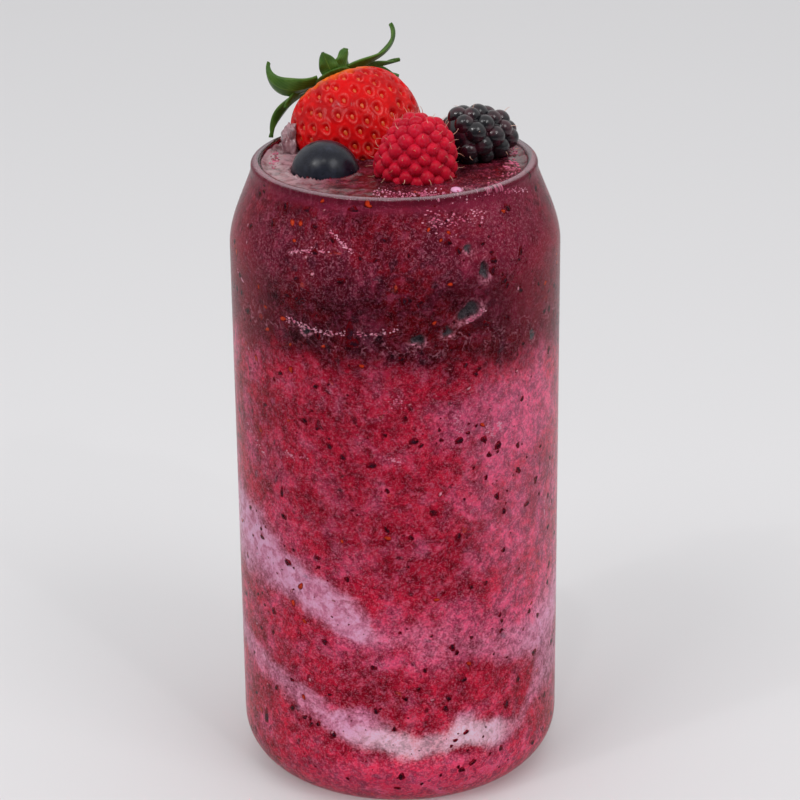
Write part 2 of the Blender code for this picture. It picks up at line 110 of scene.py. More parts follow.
class DrinkSettings(bpy.types.PropertyGroup):
    """Levels and colours of the drink."""

    below_rim: length("Below rim", "How far the drink stands below the rim", 0.0015)
    reach: length("Reach", "How far the drink reaches into the wall, so that no air shows", 0.00015)
    layer_height: length("Layer height", "Mean height of the line between the layers", 0.1195)
    layer_slope: share("Layer slope", "Drop of that line towards the right", 0.060)
    layer_wave: length("Layer wave", "Height of its waves", 0.0022)
    layer_wave_length: length("Layer wave length", "Length of its waves", 0.030)
    step: length("Step", "Distance between the rows of the mesh", 0.00062)
    sides: number("Sides", "Faces round the drink", 384)
    meniscus: length("Meniscus", "How far the drink climbs at the glass and the fruit", 0.0007)
    dark: colour("Dark pulp", "Deep maroon of the upper layer", (0.056, 0.0018, 0.0052))
    plum: colour("Plum", "Greyer purple in the upper layer", (0.165, 0.0145, 0.0360))
    wine: colour("Wine", "Redder maroon in the upper layer", (0.136, 0.0026, 0.0062))
    crimson: colour("Crimson", "Main colour of the lower blend", (0.430, 0.0100, 0.0350))
    claret: colour("Claret", "Darker pulp of the lower blend", (0.255, 0.0042, 0.0170))
    pink: colour("Pink", "Lighter froth of the lower blend", (0.660, 0.092, 0.215))
    lilac: colour("Lilac", "Milky swirls", (0.800, 0.440, 0.660))
    cream: colour("Cream", "Palest swirls", (0.920, 0.640, 0.780))
    froth: colour("Froth", "Fine bubbles", (0.760, 0.275, 0.385))
    crumb: colour("Crumb", "Paler crumbs of fruit in the pulp", (0.640, 0.130, 0.240))
    mauve: colour("Mauve", "Milky purple blots in the upper layer", (0.260, 0.045, 0.100))
    # Pale painted glare: the reflection painted on the left of the wet top.
    painted_glare: colour("Film", "Pale film on the drink's top", (0.620, 0.400, 0.440))
    # Painted light: how much brighter the lower blend is painted near the foot.
    low_painted_light: share("Low glow", "How much brighter the thin pulp near the foot is", 1.24)
    pocket: colour("Pocket", "Shadow in the air pockets", (0.026, 0.020, 0.024))


class BitSettings(bpy.types.PropertyGroup):
    """Seeds, skins and other small bits in the drink."""

    fleck: length("Fleck", "Half length of the largest random skin fleck", 0.00125)
    flecks: number("Flecks", "Skin flecks for each square metre of wall", 34000)
    seed: length("Seed", "Half length of a pip", 0.00108)
    seeds: number("Seeds", "Pips for each square metre of wall", 2600)
    pith: length("Pith", "Half length of the largest pale bit", 0.00075)
    piths: number("Pale bits", "Pale bits for each square metre of wall", 4200)
    bubble: length("Bubble", "Radius of the largest foam bubble", 0.00024)
    skin_colour: colour("Skin", "Dark berry skins", (0.016, 0.004, 0.008))
    seed_colour: colour("Pip", "Orange pips", (0.560, 0.052, 0.016))
    pith_colour: colour("Pale bit", "Pale fruit bits", (0.680, 0.300, 0.380))


class StrawberrySettings(bpy.types.PropertyGroup):
    """The strawberry and its leaves."""

    width: length("Width", "Half width at the widest place", 0.0156)
    depth: length("Depth", "Half depth at the widest place", 0.0126)
    shoulder: length("Shoulder", "Length from the widest place to the leaves", 0.0130)
    nose: length("Nose", "Length from the widest place to the tip", 0.0195)
    pit_depth: length("Pit depth", "Depth of a seed's pit", 0.00075)
    pit_width: length("Pit width", "Half width of a seed's pit", 0.00098)
    pit_length: length("Pit length", "Half length of a seed's pit", 0.00135)
    rim: length("Pit rim", "Swelling round a pit", 0.00024)
    seed: length("Seed", "Half length of a seed", 0.00078)
    leaf: length("Leaf", "Thickness of a leaf", 0.0005)
    red: colour("Red", "Ripe skin", (0.660, 0.0024, 0.0036))
    # Deep red serves the skin's darker mottling and the painted shade low on the berry.
    deep: colour("Deep red", "Darker skin low on the berry", (0.430, 0.0018, 0.0042))
    # Blush colours the pale rings round the seeds, partly paler skin and partly painted highlight.
    blush_and_glint: colour("Blush", "Pale rings round the seeds", (0.930, 0.230, 0.210))
    crown: colour("Crown", "Unripe skin under the leaves", (0.850, 0.210, 0.020))
    seed_colour: colour("Seed", "Seeds", (0.560, 0.048, 0.011))
    green: colour("Green", "Upper side of the leaves", (0.036, 0.098, 0.010))
    light_green: colour("Light green", "Veins and young leaf", (0.130, 0.240, 0.030))


class BerrySettings(bpy.types.PropertyGroup):
    """The raspberry, the dark berry and the blueberry."""

    raspberry_bead: length("Raspberry drupelet", "Radius of a raspberry's drupelet", 0.0018)
    dark_bead: length("Dark drupelet", "Radius of a dark berry's drupelet", 0.0024)
    hair: length("Hair", "Length of a dried hair on a drupelet", 0.0019)
    blueberry: length("Blueberry", "Radius of the blueberry", 0.0080)
    raspberry_red: colour("Raspberry red", "Drupelets", (0.430, 0.0035, 0.0200))
    raspberry_bloom: colour("Raspberry bloom", "Pale down on the drupelets", (0.780, 0.120, 0.230))
    dark_red: colour("Dark berry red", "Light that the dark drupelets let out", (0.045, 0.006, 0.014))
    dark_black: colour("Dark berry black", "Dark drupelets", (0.005, 0.004, 0.007))
    blue: colour("Blue", "Blueberry's skin", (0.006, 0.007, 0.014))
    bloom: colour("Bloom", "Waxy bloom on the blueberry", (0.026, 0.030, 0.050))
    hair_colour: colour("Hair", "Dried hairs", (0.560, 0.240, 0.150))


class StageSettings(bpy.types.PropertyGroup):
    """Floor, lights and camera."""

    floor: colour("Floor", "Pale floor", (0.700, 0.695, 0.710))
    air: share("Air", "Strength of the light from all round", 0.80)
    front_air: share("Front air", "Share of that light that comes from the front", 0.30)
    side_light: FloatProperty(name="Side light", description="Power of each soft side light",
                              default=4.0, unit="POWER")
    spark: FloatProperty(name="Spark", description="Power of each small bright light",
                         default=0.8, unit="POWER")


SETTINGS = {
    "smoothie_glass": GlassSettings,
    "smoothie_drink": DrinkSettings,
    "smoothie_bits": BitSettings,
    "smoothie_strawberry": StrawberrySettings,
    "smoothie_berries": BerrySettings,
    "smoothie_stage": StageSettings,
}


# Places of the garnish, as in the packed model

LEVEL = GLASS_HEIGHT - 0.0015
STRAWBERRY_CENTRE = Vector((-0.0090, 0.0152, LEVEL + 0.0043))
STRAWBERRY_AXIS = Vector((-0.40, 0.54, 0.74)).normalized()
SHOULDER_SQUARENESS = 0.62
NOSE_SHARPNESS = 1.60
SEED_COLUMNS = 45
SEED_ROWS = 22
PIT_REACH = 0.004
PLUMPNESS = 0.00010
CAP_RADIUS = 0.0048
CAP_HEIGHT = 0.0008
CAP_GAP = 0.0003
SEPAL_BASE_RADIUS = 0.0039
SEPAL_SPINE_STEPS = 24
SEPAL_TIP_SHARE = 0.05
SEPAL_CUP = 0.14
SEPAL_WAVE = 0.00035
SEPAL_WAVE_COUNT = 1.4
SEPAL_WAIST = 0.93
SEPAL_BELLY = 1.33
SEPAL_POINT = 0.9

# Sepals: azimuth, length, width, rise at the root, curl, lateness of the curl, twist. Angles in degrees
SEPALS = (
    (4, 0.0178, 0.0062, -4, 140, 1.6, 50),
    (85, 0.0054, 0.0048, 50, 8, 2.0, 0),
    (148, 0.0050, 0.0068, 56, -8, 2.0, 0),
    (179, 0.0190, 0.0040, -4, 104, 2.4, 20),
    (195, 0.0142, 0.0034, -6, 6, 2.0, 10),
    (213, 0.0158, 0.0046, 2, -45, 2.4, 0),
    (250, 0.0125, 0.0052, 12, -75, 2.4, 0),
    (290, 0.0135, 0.0054, 12, -80, 2.4, 0),
    (328, 0.0192, 0.0052, 6, -66, 2.4, 0),
    (350, 0.0100, 0.0044, 4, -50, 2.4, 0),
)

BLUEBERRY_CENTRE = Vector((-0.0162, -0.0061, LEVEL - 0.0004))
BLUEBERRY_FLATNESS = 0.93
BLUEBERRY_TILT = math.radians(14)
BLUEBERRY_DENT = 0.006

RASPBERRY = {
    "centre": Vector((0.0048, -0.0103, LEVEL + 0.0012)),
    "axis": Vector((0.17, 0.05, 0.98)).normalized(),
    "outline": (0.0099, 0.0136, 0.0050, 0.85, 0.60),
    "count": 86,
}
DARK_BERRY = {
    "centre": Vector((0.0178, 0.0016, LEVEL + 0.0056)),
    "axis": Vector((0.80, 0.58, -0.12)).normalized(),
    "outline": (0.0078, 0.0132, 0.0076, 0.80, 0.70),
    "count": 36,
}
DRUPELET_COVER = 0.86
DRUPELET_VARIATION = 0.10
DRUPELET_VARIATION_STEP = 5.3
DRUPELET_SWELL = 1.04
CORE_INSET = 0.70

# Air pockets: degrees round from the front, height, half width, half height, tilt, depth
AIR_POCKETS = (
    (32.5, 0.1378, 0.0013, 0.0021, 0.10, 0.0011),
    (26.5, 0.1293, 0.0034, 0.0018, 0.45, 0.0012),
    (7.6, 0.1235, 0.0019, 0.0012, 0.00, 0.0010),
    (17.9, 0.1248, 0.0014, 0.0013, 0.00, 0.0010),
    (-33.0, 0.1241, 0.0013, 0.0011, 0.00, 0.0008),
    (56.0, 0.1185, 0.0009, 0.0016, 0.20, 0.0007),
    (27.0, 0.1432, 0.0011, 0.0010, 0.00, 0.0007),
    (-151.0, 0.1315, 0.0022, 0.0015, 0.30, 0.0010),
    (118.0, 0.1272, 0.0016, 0.0012, -0.20, 0.0009),
    (-104.0, 0.1342, 0.0012, 0.0018, 0.00, 0.0009),
)

# Larger dark skins that show: degrees round from the front, height, half width, half height
LARGE_SKINS = (
    (-16.1, 0.1250, 0.0011, 0.0026),
    (-14.8, 0.1224, 0.0017, 0.0012),
    (-59.4, 0.0176, 0.0010, 0.0024),
    (-25.3, 0.0201, 0.0009, 0.0011),
    (-46.0, 0.0812, 0.0006, 0.0017),
    (-9.0, 0.0925, 0.0014, 0.0010),
    (38.5, 0.0940, 0.0011, 0.0012),
    (22.5, 0.0975, 0.0012, 0.0010),
    (6.0, 0.0985, 0.0013, 0.0010),
    (-37.0, 0.1508, 0.0010, 0.0008),
    (-16.5, 0.1523, 0.0014, 0.0010),
    (-30.0, 0.1423, 0.0011, 0.0008),
    (20.0, 0.1448, 0.0010, 0.0009),
    (41.0, 0.1345, 0.0011, 0.0010),
    (24.0, 0.0350, 0.0010, 0.0008),
    (49.0, 0.0300, 0.0008, 0.0010),
    (155.0, 0.0720, 0.0012, 0.0010),
    (-140.0, 0.0950, 0.0010, 0.0015),
    (100.0, 0.1080, 0.0011, 0.0010),
)

# Lines of foam against the glass: start, middle and end (degrees round, height), spread, bubbles
FOAM_LINES = (
    ((-41.4, 0.1410), (-33.5, 0.1432), (-24.8, 0.1428), 0.00045, 90),
    ((-41.3, 0.1262), (-34.0, 0.1240), (-17.9, 0.1246), 0.00050, 130),
    ((-15.4, 0.1247), (-7.3, 0.1244), (1.0, 0.1265), 0.00040, 60),
    ((-73.6, 0.1322), (-70.5, 0.1309), (-66.8, 0.1300), 0.00025, 40),
    ((-69.2, 0.0952), (-61.9, 0.0913), (-54.7, 0.0883), 0.00060, 60),
    ((-44.5, 0.0919), (-38.8, 0.0911), (-32.6, 0.0920), 0.00040, 50),
    ((-25.8, 0.1475), (-19.2, 0.1451), (-14.9, 0.1430), 0.00045, 60),
    ((-8.0, 0.1562), (15.6, 0.1560), (44.0, 0.1540), 0.00080, 300),
    ((44.0, 0.1542), (56.0, 0.1528), (66.0, 0.1512), 0.00060, 110),
    ((20.5, 0.1045), (22.0, 0.1015), (23.8, 0.0990), 0.00080, 70),
    ((31.5, 0.1015), (34.5, 0.0995), (36.5, 0.0965), 0.00090, 80),
    ((38.5, 0.1000), (39.5, 0.0985), (39.8, 0.0965), 0.00050, 40),
    ((-3.0, 0.1086), (0.0, 0.1083), (3.0, 0.1080), 0.00070, 36),
    ((-4.0, 0.0942), (-1.5, 0.0940), (1.5, 0.0936), 0.00060, 32),
    ((72.5, 0.0840), (71.6, 0.0820), (71.2, 0.0795), 0.00020, 30),
    ((67.5, 0.0745), (66.2, 0.0715), (66.8, 0.0690), 0.00030, 40),
    ((12.0, 0.1492), (24.0, 0.1508), (38.0, 0.1490), 0.00160, 130),
    ((26.0, 0.1265), (29.0, 0.1275), (32.5, 0.1286), 0.00040, 50),
    ((140.0, 0.1300), (160.0, 0.1275), (175.0, 0.1290), 0.00060, 120),
    ((-150.0, 0.0900), (-130.0, 0.0860), (-115.0, 0.0880), 0.00060, 100),
)

# Rings of bubbles: degrees round, height, radius
FOAM_RINGS = (
    (-12.8, 0.1002, 0.0011),
    (-33.0, 0.1241, 0.0012),
    (46.0, 0.0660, 0.0008),
    (120.0, 0.0900, 0.0010),
)

# Milky swirls seen through the glass: degrees round from the front, height, half width, strength
UPPER_SWIRL = (
    (-180, 0.052, 0.0030, 0.5), (-120, 0.062, 0.0060, 0.8), (-84, 0.0660, 0.0112, 0.95),
    (-66, 0.0650, 0.0106, 1.0), (-50, 0.0615, 0.0084, 0.95), (-38, 0.0582, 0.0070, 0.90),
    (-26, 0.0545, 0.0062, 0.95), (-14, 0.0508, 0.0056, 0.90), (-4, 0.0480, 0.0035, 0.30),
    (14, 0.0465, 0.0060, 0.28), (36, 0.0430, 0.0055, 0.35), (54, 0.0400, 0.0060, 0.65),
    (66, 0.0405, 0.0090, 0.75), (90, 0.0450, 0.0070, 0.60), (130, 0.0480, 0.0040, 0.30),
    (180, 0.0520, 0.0030, 0.5),
)
LOWER_SWIRL = (
    (-180, 0.030, 0.0030, 0.4), (-110, 0.0370, 0.0040, 0.5), (-80, 0.0350, 0.0044, 0.55),
    (-62, 0.0320, 0.0038, 0.60), (-48, 0.0297, 0.0040, 0.55), (-36, 0.0265, 0.0040, 0.64),
    (-24, 0.0240, 0.0042, 0.82), (-12, 0.0212, 0.0046, 0.88), (2, 0.0190, 0.0042, 0.78),
    (14, 0.0190, 0.0036, 0.60), (24, 0.0205, 0.0044, 0.90), (36, 0.0178, 0.0048, 0.88),
    (48, 0.0170, 0.0025, 0.4), (60, 0.0265, 0.0060, 0.45), (68, 0.0280, 0.0075, 0.55),
    (100, 0.0260, 0.0040, 0.35), (180, 0.0300, 0.0030, 0.4),
)


# Objects, meshes and pieces

def link(name, data):
    item = bpy.data.objects.new(name, data)
    bpy.context.scene.collection.objects.link(item)
    return item


def bmesh_to_mesh(name, shape):
    mesh = bpy.data.meshes.new(name)
    shape.to_mesh(mesh)
    shape.free()
    return mesh


def numpy_points(mesh):
    values = np.empty(len(mesh.vertices) * 3, np.float32)
    mesh.vertices.foreach_get("co", values)
    return values.reshape(-1, 3).astype(float)


def numpy_normals(mesh):
    values = np.empty(len(mesh.vertices) * 3, np.float32)
    mesh.vertices.foreach_get("normal", values)
    return values.reshape(-1, 3).astype(float)


def set_points(mesh, values):
    mesh.vertices.foreach_set("co", values.astype(np.float32).ravel())
    mesh.update()


def set_attribute(mesh, name, values, kind="FLOAT"):
    attribute = mesh.attributes.new(name, kind, "POINT")
    key = "value" if kind == "FLOAT" else "vector"
    attribute.data.foreach_set(key, np.asarray(values, np.float32).ravel())


def joined(name, items):
    """One object with the meshes of several, which are removed."""
    with bpy.context.temp_override(active_object=items[0], object=items[0],
                                   selected_objects=items, selected_editable_objects=items):
        bpy.ops.object.join()
    items[0].name = name
    items[0].data.name = name
    return items[0]


def discard(item):
    mesh = item.data
    bpy.data.objects.remove(item)
    bpy.data.meshes.remove(mesh)


def finish_piece(item, slot, *nodes):
    """Hang the piece on the model's body and hide the nodes that it stands for; the slot is not used."""
    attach(item, "root")
    if nodes:
        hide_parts(*nodes)


def smoothstep(values, low, high):
    ratio = np.clip((values - low) / (high - low), 0.0, 1.0)
    return ratio * ratio * (3.0 - 2.0 * ratio)


# Building node trees

class Builder:
    """Short calls for adding nodes to a tree."""

    def __init__(self, tree):
        self.tree = tree

    def feed(self, socket, value):
        if isinstance(value, bpy.types.NodeSocket):
            self.tree.links.new(value, socket)
        elif socket.type == "RGBA" and len(value) == 3:
            socket.default_value = (*value, 1.0)
        else:
            socket.default_value = value

    def add(self, kind, inputs=None, **options):
        node = self.tree.nodes.new(kind)
        for key, value in options.items():
            setattr(node, key, value)
        for key, value in (inputs or {}).items():
            self.feed(node.inputs[key], value)
        return node

    def math(self, operation, first, second=0.0, third=0.0, clamp=False):
        node = self.add("ShaderNodeMath", {0: first, 1: second, 2: third},
                        operation=operation, use_clamp=clamp)
        return node.outputs[0]

    def plus(self, first, second):
        return self.math("ADD", first, second)

    def less(self, first, second):
        return self.math("SUBTRACT", first, second)

    def times(self, first, second):
        return self.math("MULTIPLY", first, second)

    def both(self, first, second):
        return self.math("MULTIPLY", first, second, clamp=True)

    def larger(self, first, second):
        return self.math("MAXIMUM", first, second)

    def line(self, value, slope, start):
        """Slope times the value, plus start."""
        return self.math("MULTIPLY_ADD", value, slope, start)

    def vector(self, operation, first, second=(0.0, 0.0, 0.0), scale=None):
        node = self.add("ShaderNodeVectorMath", {0: first, 1: second}, operation=operation)
        if scale is not None:
            self.feed(node.inputs["Scale"], scale)
        return node.outputs[0]

    def scaled(self, vector, factor):
        return self.vector("SCALE", vector, scale=factor)

    def apart(self, vector):
        """The X, Y and Z of a vector."""
        return self.add("ShaderNodeSeparateXYZ", {0: vector}).outputs

    def ramp(self, value, low, high, out_low=0.0, out_high=1.0):
        """A smooth step of value from low to high."""
        node = self.add("ShaderNodeMapRange",
                        {"Value": value, "From Min": low, "From Max": high,
                         "To Min": out_low, "To Max": out_high},
                        interpolation_type="SMOOTHSTEP")
        return node.outputs["Result"]

    def mix(self, factor, first, second):
        node = self.add("ShaderNodeMix", {0: factor, 6: first, 7: second}, data_type="RGBA")
        return node.outputs[2]

    def laid(self, tone, mask, strength, top):
        """The tone with another laid over it where the mask shows."""
        return self.mix(self.both(mask, strength), tone, top)

    def noise(self, place, scale, detail=2.0, roughness=0.5, distortion=0.0):
        node = self.add("ShaderNodeTexNoise",
                        {"Vector": place, "Scale": scale, "Detail": detail,
                         "Roughness": roughness, "Distortion": distortion})
        return node.outputs["Fac"]

    def place(self):
        return self.add("ShaderNodeTexCoord").outputs["Object"]

    def attribute(self, name):
        return self.add("ShaderNodeAttribute", attribute_name=name).outputs["Fac"]

    def bump(self, height, distance, strength=1.0):
        node = self.add("ShaderNodeBump", {"Height": height, "Distance": distance, "Strength": strength})
        return node.outputs["Normal"]

    def curve(self, value, points):
        """A smooth curve through (0 to 1, 0 to 1) points."""
        node = self.add("ShaderNodeFloatCurve", {"Value": value})
        line = node.mapping.curves[0]
        while len(line.points) < len(points):
            line.points.new(0.5, 0.5)
        for point, (x, y) in zip(line.points, points):
            point.location = (x, y)
        node.mapping.update()
        return node.outputs["Value"]


def new_material(name):
    """An empty node material with its builder and its output node."""
    material = bpy.data.materials.new(name)
    material.use_nodes = True
    material.node_tree.nodes.clear()
    builder = Builder(material.node_tree)
    output = builder.add("ShaderNodeOutputMaterial")
    return material, builder, output


def principled(builder, output, inputs):
    node = builder.add("ShaderNodeBsdfPrincipled", inputs)
    if output is not None:
        builder.tree.links.new(node.outputs[0], output.inputs["Surface"])
    return node.outputs[0]


# Geometry Nodes trees

def new_tree(name, sockets):
    """An empty Geometry Nodes tree with these named inputs: (name, socket type, default)."""
    tree = bpy.data.node_groups.new(name, "GeometryNodeTree")
    face = tree.interface
    face.new_socket("Geometry", in_out="INPUT", socket_type="NodeSocketGeometry")
    for label, kind, default in sockets:
        socket = face.new_socket(label, in_out="INPUT", socket_type=kind)
        if default is not None:
            socket.default_value = default
    face.new_socket("Geometry", in_out="OUTPUT", socket_type="NodeSocketGeometry")
    builder = Builder(tree)
    return builder, builder.add("NodeGroupInput").outputs, builder.add("NodeGroupOutput").inputs[0]


def close_tree(builder, geometry, material, result):
    """End a tree: real meshes, smooth faces and a material."""
    geometry = builder.add("GeometryNodeRealizeInstances", {"Geometry": geometry}).outputs[0]
    geometry = builder.add("GeometryNodeSetShadeSmooth", {"Geometry": geometry}).outputs[0]
    geometry = builder.add("GeometryNodeSetMaterial",
                           {"Geometry": geometry, "Material": material}).outputs[0]
    builder.tree.links.new(geometry, result)
    return builder.tree


def turning_tree():
    """Turns a profile, a row of points in the XZ plane, round Z."""
    builder, given, result = new_tree("turned_profile", (
        ("Sides", "NodeSocketInt", 64), ("Material", "NodeSocketMaterial", None)))
    rows = builder.add("GeometryNodeAttributeDomainSize",
                       {"Geometry": given["Geometry"]}).outputs["Point Count"]
    columns = builder.plus(given["Sides"], 1.0)
    grid = builder.add("GeometryNodeMeshGrid", {"Vertices X": columns, "Vertices Y": rows})
    index = builder.add("GeometryNodeInputIndex").outputs[0]
    row = builder.math("MODULO", index, rows)
    column = builder.math("FLOOR", builder.math("DIVIDE", index, rows))
    position = builder.add("GeometryNodeInputPosition").outputs[0]
    sample = builder.add("GeometryNodeSampleIndex",
                         {"Geometry": given["Geometry"], "Value": position, "Index": row},
                         data_type="FLOAT_VECTOR")
    apart = builder.apart(sample.outputs["Value"])
    angle = builder.times(builder.math("DIVIDE", column, given["Sides"]), 2.0 * math.pi)
    place = builder.add("ShaderNodeCombineXYZ", {
        "X": builder.times(apart["X"], builder.math("COSINE", angle)),
        "Y": builder.times(apart["X"], builder.math("SINE", angle)),
        "Z": apart["Z"],
    }).outputs[0]
    moved = builder.add("GeometryNodeSetPosition",
                        {"Geometry": grid.outputs["Mesh"], "Position": place}).outputs[0]
    merged = builder.add("GeometryNodeMergeByDistance",
                         {"Geometry": moved, "Distance": 1e-6}).outputs[0]
    return close_tree(builder, merged, given["Material"], result)


def pieces_tree():
    """Sets a copy of a shape on each point, turned and sized by the point's own values."""
    builder, given, result = new_tree("pieces_on_points", (
        ("Shape", "NodeSocketObject", None), ("Scale", "NodeSocketFloat", 1.0),
        ("Material", "NodeSocketMaterial", None)))
    shape = builder.add("GeometryNodeObjectInfo", {"Object": given["Shape"]}).outputs["Geometry"]
    turn = builder.add("GeometryNodeInputNamedAttribute", {"Name": "turn"}, data_type="FLOAT_VECTOR")
    size = builder.add("GeometryNodeInputNamedAttribute", {"Name": "size"}, data_type="FLOAT_VECTOR")
    scale = builder.scaled(size.outputs["Attribute"], given["Scale"])
    pieces = builder.add("GeometryNodeInstanceOnPoints", {
        "Points": given["Geometry"], "Instance": shape,
        "Rotation": turn.outputs["Attribute"], "Scale": scale}).outputs[0]
    return close_tree(builder, pieces, given["Material"], result)


def scatter_tree():
    """Scatters copies of a shape over faces, lying flat on them, turned and sized at random."""
    builder, given, result = new_tree("scattered_bits", (
        ("Shape", "NodeSocketObject", None), ("Density", "NodeSocketFloat", 1000.0),
        ("Largest", "NodeSocketFloat", 0.001), ("Smallest Share", "NodeSocketFloat", 0.2),
        ("Size Falloff", "NodeSocketFloat", 3.0), ("Clumping", "NodeSocketFloat", 60.0),
        ("Seed", "NodeSocketInt", 1), ("Material", "NodeSocketMaterial", None)))
    shape = builder.add("GeometryNodeObjectInfo", {"Object": given["Shape"]}).outputs["Geometry"]
    position = builder.add("GeometryNodeInputPosition").outputs[0]
    clump = builder.noise(position, given["Clumping"])
    density = builder.times(given["Density"], builder.ramp(clump, 0.35, 0.65, 0.3, 1.7))
    points = builder.add("GeometryNodeDistributePointsOnFaces",
                         {"Mesh": given["Geometry"], "Density": density, "Seed": given["Seed"]})
    draw = builder.add("FunctionNodeRandomValue", {2: 0.0, 3: 1.0, "Seed": given["Seed"]},
                       data_type="FLOAT").outputs[1]
    skewed = builder.math("POWER", draw, given["Size Falloff"])
    least = builder.times(given["Largest"], given["Smallest Share"])
    spread = builder.less(given["Largest"], least)
    size = builder.line(skewed, spread, least)
    pieces = builder.add("GeometryNodeInstanceOnPoints", {
        "Points": points.outputs["Points"], "Instance": shape,
        "Rotation": points.outputs["Rotation"], "Scale": size}).outputs[0]
    spin = builder.add("FunctionNodeRandomValue",
                       {0: (-0.3, -0.3, -math.pi), 1: (0.3, 0.3, math.pi), "Seed": given["Seed"]},
                       data_type="FLOAT_VECTOR").outputs[0]
    spun = builder.add("GeometryNodeRotateInstances",
                       {"Instances": pieces, "Rotation": spin, "Local Space": True}).outputs[0]
    return close_tree(builder, spun, given["Material"], result)


def run_tree(item, tree, values):
    """Run a tree on the object with these inputs, and keep the result as its plain mesh."""
    modifier = item.modifiers.new(tree.name, "NODES")
    modifier.node_group = tree
    for socket in tree.interface.items_tree:
        if socket.item_type == "SOCKET" and socket.in_out == "INPUT" and socket.name in values:
            modifier[socket.identifier] = values[socket.name]
    item.update_tag()
    graph = bpy.context.evaluated_depsgraph_get()
    made = bpy.data.meshes.new_from_object(item.evaluated_get(graph))
    item.modifiers.clear()
    old = item.data
    item.data = made
    bpy.data.meshes.remove(old)
    made.name = item.name
    made.materials.clear()
    made.materials.append(values["Material"])
    return item


def turned(name, profile, sides, material):
    """A closed solid turned from (radius, height) points, which run up its outside."""
    mesh = bpy.data.meshes.new(name)
    mesh.from_pydata([(radius, 0.0, height) for radius, height in profile],
                     [(index, index + 1) for index in range(len(profile) - 1)], [])
    item = run_tree(link(name, mesh), get_tree(turning_tree, "turned_profile"),
                    {"Sides": sides, "Material": material})
    shape = bmesh.new()
    shape.from_mesh(item.data)
    bmesh.ops.dissolve_degenerate(shape, dist=1e-7, edges=shape.edges)
    bmesh.ops.recalc_face_normals(shape, faces=shape.faces)
    shape.to_mesh(item.data)
    shape.free()
    item.data.set_sharp_from_angle(angle=math.radians(50.0))
    return item


def get_tree(maker, name):
    return bpy.data.node_groups.get(name) or maker()


def on_points(name, rows, shape, material, scale=1.0):
    """Copies of a shape as one object. Each row is one copy: its place, its turn and its size."""
    places, turns, sizes = zip(*rows)
    mesh = bpy.data.meshes.new(name)
    mesh.from_pydata([tuple(place) for place in places], [], [])
    set_attribute(mesh, "turn", [tuple(turn) for turn in turns], "FLOAT_VECTOR")
    set_attribute(mesh, "size", [tuple(size) for size in sizes], "FLOAT_VECTOR")
    return run_tree(link(name, mesh), get_tree(pieces_tree, "pieces_on_points"),
                    {"Shape": shape, "Scale": scale, "Material": material})


def scattered(name, carrier, shape, values, material):
    """Bits scattered over a copy of the carrier's faces, as one object."""
    item = link(name, carrier.copy())
    return run_tree(item, get_tree(scatter_tree, "scattered_bits"),
                    {"Shape": shape, "Material": material, **values})


# Small shapes that are copied

SKIN_SLIMNESS = 0.66


def bead_shape(name, segments, rings):
    shape = bmesh.new()
    bmesh.ops.create_uvsphere(shape, u_segments=segments, v_segments=rings, radius=1.0)
    return link(name, bmesh_to_mesh(name, shape))


def mark_core(item):
    """Mark how high each point stands on a small shape's domed side, so that its edge can blend in."""
    height = numpy_points(item.data)[:, 2]
    set_attribute(item.data, "core", np.clip(height / height.max(), 0.0, 1.0))
    return item


def pip_shape(name):
    """A flat teardrop, its point along +X."""
    item = bead_shape(name, 10, 7)
    for vertex in item.data.vertices:
        x, y, z = vertex.co.z, vertex.co.y, vertex.co.x
        taper = 0.62 * (1.0 - 0.38 * x)
        vertex.co = Vector((x, -y * taper, z * 0.36))
    item.data.update()
    return mark_core(item)


def skin_shape(name, seed):
    """A torn flat scrap of berry skin."""
    shape = bmesh.new()
    bmesh.ops.create_icosphere(shape, subdivisions=2, radius=1.0)
    for vertex in shape.verts:
        pull = 1.0 + 0.75 * noise.noise(vertex.co * 1.7 + Vector((seed, 0.0, 0.0)))
        vertex.co = Vector((vertex.co.x * pull, SKIN_SLIMNESS * vertex.co.y * pull, 0.30 * vertex.co.z))
    return mark_core(link(name, bmesh_to_mesh(name, shape)))


def hair_shape(name):
    """A curved tapering hair of length 1 along +Z."""
    rows = 6
    shape = bmesh.new()
    bmesh.ops.create_cone(shape, cap_ends=True, segments=5, radius1=0.050, radius2=0.018, depth=1.0)
    edges = [edge for edge in shape.edges if abs(edge.verts[0].co.z - edge.verts[1].co.z) > 0.5]
    bmesh.ops.subdivide_edges(shape, edges=edges, cuts=rows, use_grid_fill=False)
    for vertex in shape.verts:
        along = vertex.co.z + 0.5
        vertex.co.x += 0.34 * along * along
        vertex.co.y += 0.10 * math.sin(3.0 * along)
        vertex.co.z = along
    return link(name, bmesh_to_mesh(name, shape))


# Curves that the shapes follow

def corner(inner_radius, outer_radius, height, steps):
    """Quarter of an ellipse from a flat floor up to an upright wall."""
    points = []
    for step in range(steps + 1):
        angle = 0.5 * math.pi * step / steps
        radius = inner_radius + (outer_radius - inner_radius) * math.sin(angle)
        points.append((radius, height * (1.0 - math.cos(angle))))
    return points


def shoulder_radius(glass, height):
    """Outer radius of the glass at a height above its base."""
    span = GLASS_HEIGHT - glass.neck - glass.shoulder_start
    part = min(max((height - glass.shoulder_start) / span, 0.0), 1.0)
    bend = 1.0 + glass.shoulder_bend * (1.0 - part)
    return BODY_RADIUS + (glass.rim_radius - BODY_RADIUS) * part * part * bend


def spaced(low, high, step):
    """Heights at even steps from low to high, both included."""
    count = max(1, round((high - low) / step))
    return [low + (high - low) * index / count for index in range(count + 1)]


